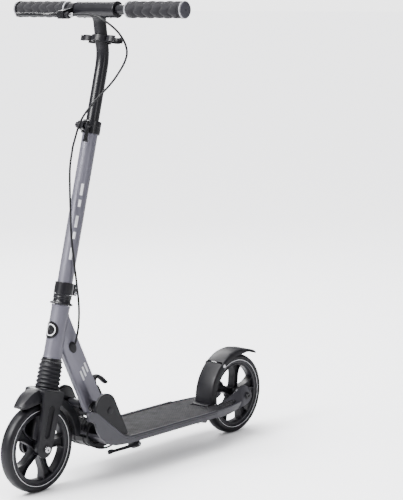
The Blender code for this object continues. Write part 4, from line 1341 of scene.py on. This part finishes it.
def deck():
    plan = [
        (170, -70), (530, -70), (532, -44), (556, -27), (566, -24), (566, 24), (556, 27), (532, 44),
        (530, 70), (170, 70)
    ]
    shapes = [prism(plan, 82, 88.4, "Z")]
    nose = rounded(
        [
            (130, 106), (140, 95), (155, 86), (175, 81.5), (205, 81.5), (205, 88.4), (178, 88.4), (160, 93),
            (146, 101), (136, 111)
        ],
        3
    )
    shapes.append(prism(nose, -70, 70))
    for side in BOTH:
        shapes.append(prism(RAIL_UPPER + RAIL_LOWER, *span(side, 69.5, 76)))
        taper = [
            (529, 76), (566, 73), (600, 68), (630, 60.5), (655, 52.6), (655, 49.5), (630, 56), (600, 62.5),
            (566, 68), (529, 69.6)
        ]
        shapes.append(prism([(x, side * y) for x, y in taper], 76.5, 91.6, "Z"))
        shapes.append(tine(side))
        shapes.append(rod(6, *span(side, 54, 72), "Y", (106, 0, 153)))
        shapes.append(
            prism(rounded([(546, 84), (576, 84), (568, 50), (561, 46), (554, 50)], 3), *span(side, 9.5, 14))
        )
        shapes.append(prism([(206, 83), (540, 83), (528, 72), (218, 72)], *span(side, 20, 25)))
    piece("deck_shell", shapes, "deck", "deck", CHASSIS, ["deck_platform"], 0.9)


def rail_trim():
    """A thin dark strip under each rail's top, laid where a groove's shade falls (painted shade), and a
    rounded lip along it.
    """
    for side, label in SIDES:
        # A dark strip in the net finish stands for the shade in a groove along the rail's side: painted
        # shade.
        groove_shade_strip = [(236, 88.2), (530, 88.2), (530, 86.9), (236, 86.9)]
        piece(f"rail_seam_{label}", [prism(groove_shade_strip, *span(side, 75.6, 76.15))], "net", "deck")
        crest = curve([Vector((x, side * 74.2, z - 2.4)) for x, z in RAIL_UPPER[1:]], 6)
        radii = [min(3.0, 1.2 + 0.14 * i) for i in range(len(crest))]
        piece(f"rail_lip_{label}", [tube(crest, radii, 16, 1.1, side=(0, 1, 0))], "deck", "deck", CHASSIS)


def kick_mount():
    lug = rounded([(244, 57), (268, 57), (268, 84), (244, 84)], 3)
    kick_lug = piece("kick_lug", [prism(lug, -62, -47)], "black", "deck", CHASSIS)
    boolean(kick_lug, "DIFFERENCE", [rod(9, -0.3, 16)], KICK)
    finish_edges(kick_lug, "black")
    piece("kick_pivot_pin", [rod(2.3, -9, 7.6), rod(4.0, 7.3, 8.4)], "steel", "deck", KICK)


def deck_sheet():
    """The glued sheet, with a point that runs up each rear tine."""
    flat = [
        (228, -57), (231, -64), (238, -68.8), (527, -68.8), (560, -66.4), (574, -64.4), (574, -31),
        (562, -26), (544, -22)
    ]
    flat += [(x, -y) for x, y in reversed(flat)]
    piece("grip_sheet", [prism(flat, 88.6, 91.0, "Z")], "sheet", "deck", CHASSIS, ["deck_grip_mat"], 0.5)
    edges = [((572, 64.8, 90.6), (572, 31, 91.4)), ((590, 61.6, 91.2), (590, 36.6, 95.6))]
    edges += [((606, 58.4, 92.0), (606, 43, 98.6)), ((622, 54.6, 93.8), (622, 48.2, 100.4))]
    edges += [((634, 51.9, 96.5), (634, 51.0, 98.6))]
    drop = Vector((0, 0, -2.6))
    for side, label in SIDES:
        rows = []
        for outer, inner in edges:
            a, b = Vector(outer), Vector(inner)
            top = [a, a.lerp(b, 0.5), b]
            rows.append([(p.x, side * p.y, p.z) for p in top + [q + drop for q in reversed(top)]])
        piece(f"grip_sheet_point_{label}", [loft(rows)], "sheet", "deck", CHASSIS)


def fold_cheeks():
    cheek = [
        (116, 164), (116, 178), (122, 192), (133, 201), (148, 205), (163, 202), (175, 194), (224, 97),
        (168, 97), (142, 116), (126, 138)
    ]
    cheek = rounded(cheek, 9, 5)
    middle = Vector((160, 158))
    for side, label in SIDES:
        loops = []
        for grow, y in (
            (1.0, 63.6), (1.0, 67.4), (0.985, 68.6), (0.95, 69.1), (0.90, 69.1), (0.88, 68.5), (0.5, 68.7)
        ):
            loops.append(
                [
                    (middle.x + (x - middle.x) * grow, side * y, middle.y + (z - middle.y) * grow) for x,
                    z in cheek
                ]
            )
        button = [(0, 70.4), (7, 70.4), (8.4, 69.8), (8.6, 68.2), (0, 68.2)]
        cap = turned(button, side, 48, (FOLD[0], 0, FOLD[1]))
        piece(
            f"fold_cheek_{label}", [loft(loops), cap], "plastic", "deck", CHASSIS,
            [f"fold_cheek_cover_{label}"], angle=40
        )


def fold_bracket():
    """The bracket's plates, feet and nuts, its stop for the down tube, and the fold's pin."""
    bracket = [
        (122, 164), (122, 177), (127, 189), (136, 197), (148, 200), (161, 198), (171, 191), (218, 91.6),
        (172, 91.6), (144, 119), (130, 140)
    ]
    shapes = [prism([(180, -63.3), (218, -63.3), (218, 63.3), (180, 63.3)], 88.8, 92.2, "Z")]
    for side in BOTH:
        shapes.append(prism(rounded(bracket, 4), *span(side, 60.3, 63.3)))
        for x in (190, 208):
            shapes.append(rod(4.2, 92, 95.2, "Z", (x, side * 46, 0), 6))
    stop = [(137, 111), (140, 125), (149, 134.5), (160, 135.5), (166, 129.5), (172, 123.5), (178, 117)]
    stop += [(186, 104), (186, 89.2), (178, 89.2), (161, 93.8), (147, 101.8)]
    shapes.append(prism(rounded(stop, 2), -22, 22))
    rib = [
        (135.6, 110), (138.6, 126), (148.4, 136), (160.4, 137), (167, 130.4), (172.6, 124.6), (179, 117.6),
        (187, 104), (160, 100)
    ]
    for y in (-19, -9.5, 0, 9.5, 19):
        shapes.append(prism(rounded(rib, 2), y - 1.5, y + 1.5))
    piece("fold_bracket_plates", shapes, "black", "deck", CHASSIS, ["fold_bracket"], 0.5)
    piece(
        "fold_pin", [rod(5, -63.2, 63.2, "Y", (FOLD[0], 0, FOLD[1]))], "steel", "deck", CHASSIS,
        ["fold_pivot_pin"]
    )


def hinge_cover():
    cover = [
        (128, 101), (139, 90), (154, 81), (174, 78), (200, 78), (196, 70), (170, 68), (146, 76), (131, 88)
    ]
    shapes = [prism(rounded(cover, 3), -28, 28)]
    for y in (-28, -14, 14, 28):
        shapes.append(
            prism(
                rounded(
                    [
                        (126.4, 101), (130, 86.6), (145.4, 74.4), (170, 66.4), (186, 67.6), (170, 76),
                        (146, 84), (134, 96)
                    ],
                    2
                ),
                y - 1.6, y + 1.6
            )
        )
    piece("hinge_cover", shapes, "plastic", "deck", CHASSIS, ["hinge_underside_cover"], 0.8)


def kickstand():
    leg = [
        (-4, -4.2), (-4, 4.2), (-60, 3.6), (-84, 3.4), (-90, 5.6), (-98, 5.8), (-101, 3), (-101, -3.4),
        (-96, -4.8), (-86, -3.4), (-60, -3.6)
    ]
    eye = hoop(2.6, 6.2, 0.1, 7, sides=48, edge=0.8)
    piece(
        "kickstand_bar", [eye, prism(rounded(leg, 2), 0.9, 6.6, "Z")], "black", "kickstand", KICK,
        ["kickstand_leg"], 0.8
    )


# ---------------------------------------------------------------- rear end


def fender_base():
    rows = [
        (-94, 27.6, 114.6, 98, 0.6), (-70, 27.8, 115, 98, 0.8), (-50, 27.8, 115, 98, 0.8),
        (-39.6, 27.8, 115, 98.6, 0.8)
    ]
    foot = prism(rounded([(-127, -8.4), (-108, -8.4), (-108, -5.6), (-122, -5.6)], 1), -25, 25)
    knuckle = hoop(2.4, 6.3, -20.2, 20.2, "Y", HINGE_CENTRE, 40)
    ears = pair(arc(HINGE_SPOT, 7.4, 0, 360, 24)[:-1], 25.1, 27.9)
    piece(
        "fender_base", [hood(smooth_stations(rows)), foot, knuckle, *ears], "plastic", "deck", REAR_HUB,
        ["rear_fender_base"], 0.6, 2, 28
    )


def fender_pin():
    shapes = [rod(2.2, -28.8, 28.8, "Y", HINGE_CENTRE)]
    for side in BOTH:
        shapes.append(rod(4.4, *span(side, 28.0, 29.4), "Y", HINGE_CENTRE, 32))
    piece("fender_pin", shapes, "steel", "deck", REAR_HUB, ["fender_hinge_pin"])


def fender_pedal():
    rows = [
        (-36.6, 27.8, 115, 103, 0.8), (-20, 27.8, 115.2, 101, 0.8), (-2, 27.8, 115.2, 101.4, 0.8),
        (8, 27.8, 115.0, 104, 0.7), (13, 27.6, 114.2, 107.5, 0.4)
    ]
    step = [(11.5, 28.6, 113.8, 106.8, 0.2), (17, 29.2, 115.6, 109.0, 0.3), (24, 28.6, 117.4, 111.6, 0.2)]
    step += [(31, 25.6, 120.0, 115.2, 0.1), (37.4, 19.4, 123.4, 119.2, 0.0)]
    arms = pair(arc(HINGE_SPOT, 5.4, 180, 360, 12) + [(-50, 101.5), (-46, 98.5)], 20.6, 24.4)
    shapes = [hood(smooth_stations(rows)), hood(smooth_stations(step)), *arms]
    piece("fender_pedal", shapes, "plastic", "fender_pedal", REAR_HUB, ["rear_fender_pedal"], 0.6, 2, 28)


def rear_brake():
    outline = [
        (556, 46), (564, 46), (566, 54), (573, 63), (580, 66), (578, 79), (570, 79), (566, 66), (556, 60)
    ]
    shapes = [prism(rounded(outline, 1.5), -8, 8), rod(2.7, -13.4, 13.4, "Y", (561, 0, 56))]
    piece("brake_arm", shapes, "steel", "rear_brake", CHASSIS, ["rear_brake_arm"], 0.5)
    loop = [(548, -4, 68), (541, -4, 62), (538, -4, 52), (544, -4, 46), (551, -4, 51), (556, -4, 60)]
    piece("brake_spring", [tube(curve([Vector(p) for p in loop], 1.5), 0.8, 10)], "steel", "deck", CHASSIS)


camera()
floor()
backdrop()
lights()
wheel("front", "front_wheel", FRONT_HUB, math.radians(17))
wheel("rear", "rear_wheel", REAR_HUB, math.radians(5))
axles()
fork()
front_fender()
suspension()
steering()
headset_top()
stem_collar()
stem_dashes()
quick_clamp()
handlebar()
grip_clips()
handles()
hand_brake()
cables()
down_tube()
head_tube()
weld_bead()
headset_cup()
release_ears()
hinge_barrel()
cable_boot()
tube_marks()
badge()
release_lever()
deck()
rail_trim()
kick_mount()
deck_sheet()
fold_cheeks()
fold_bracket()
hinge_cover()
kickstand()
fender_base()
fender_pin()
fender_pedal()
rear_brake()
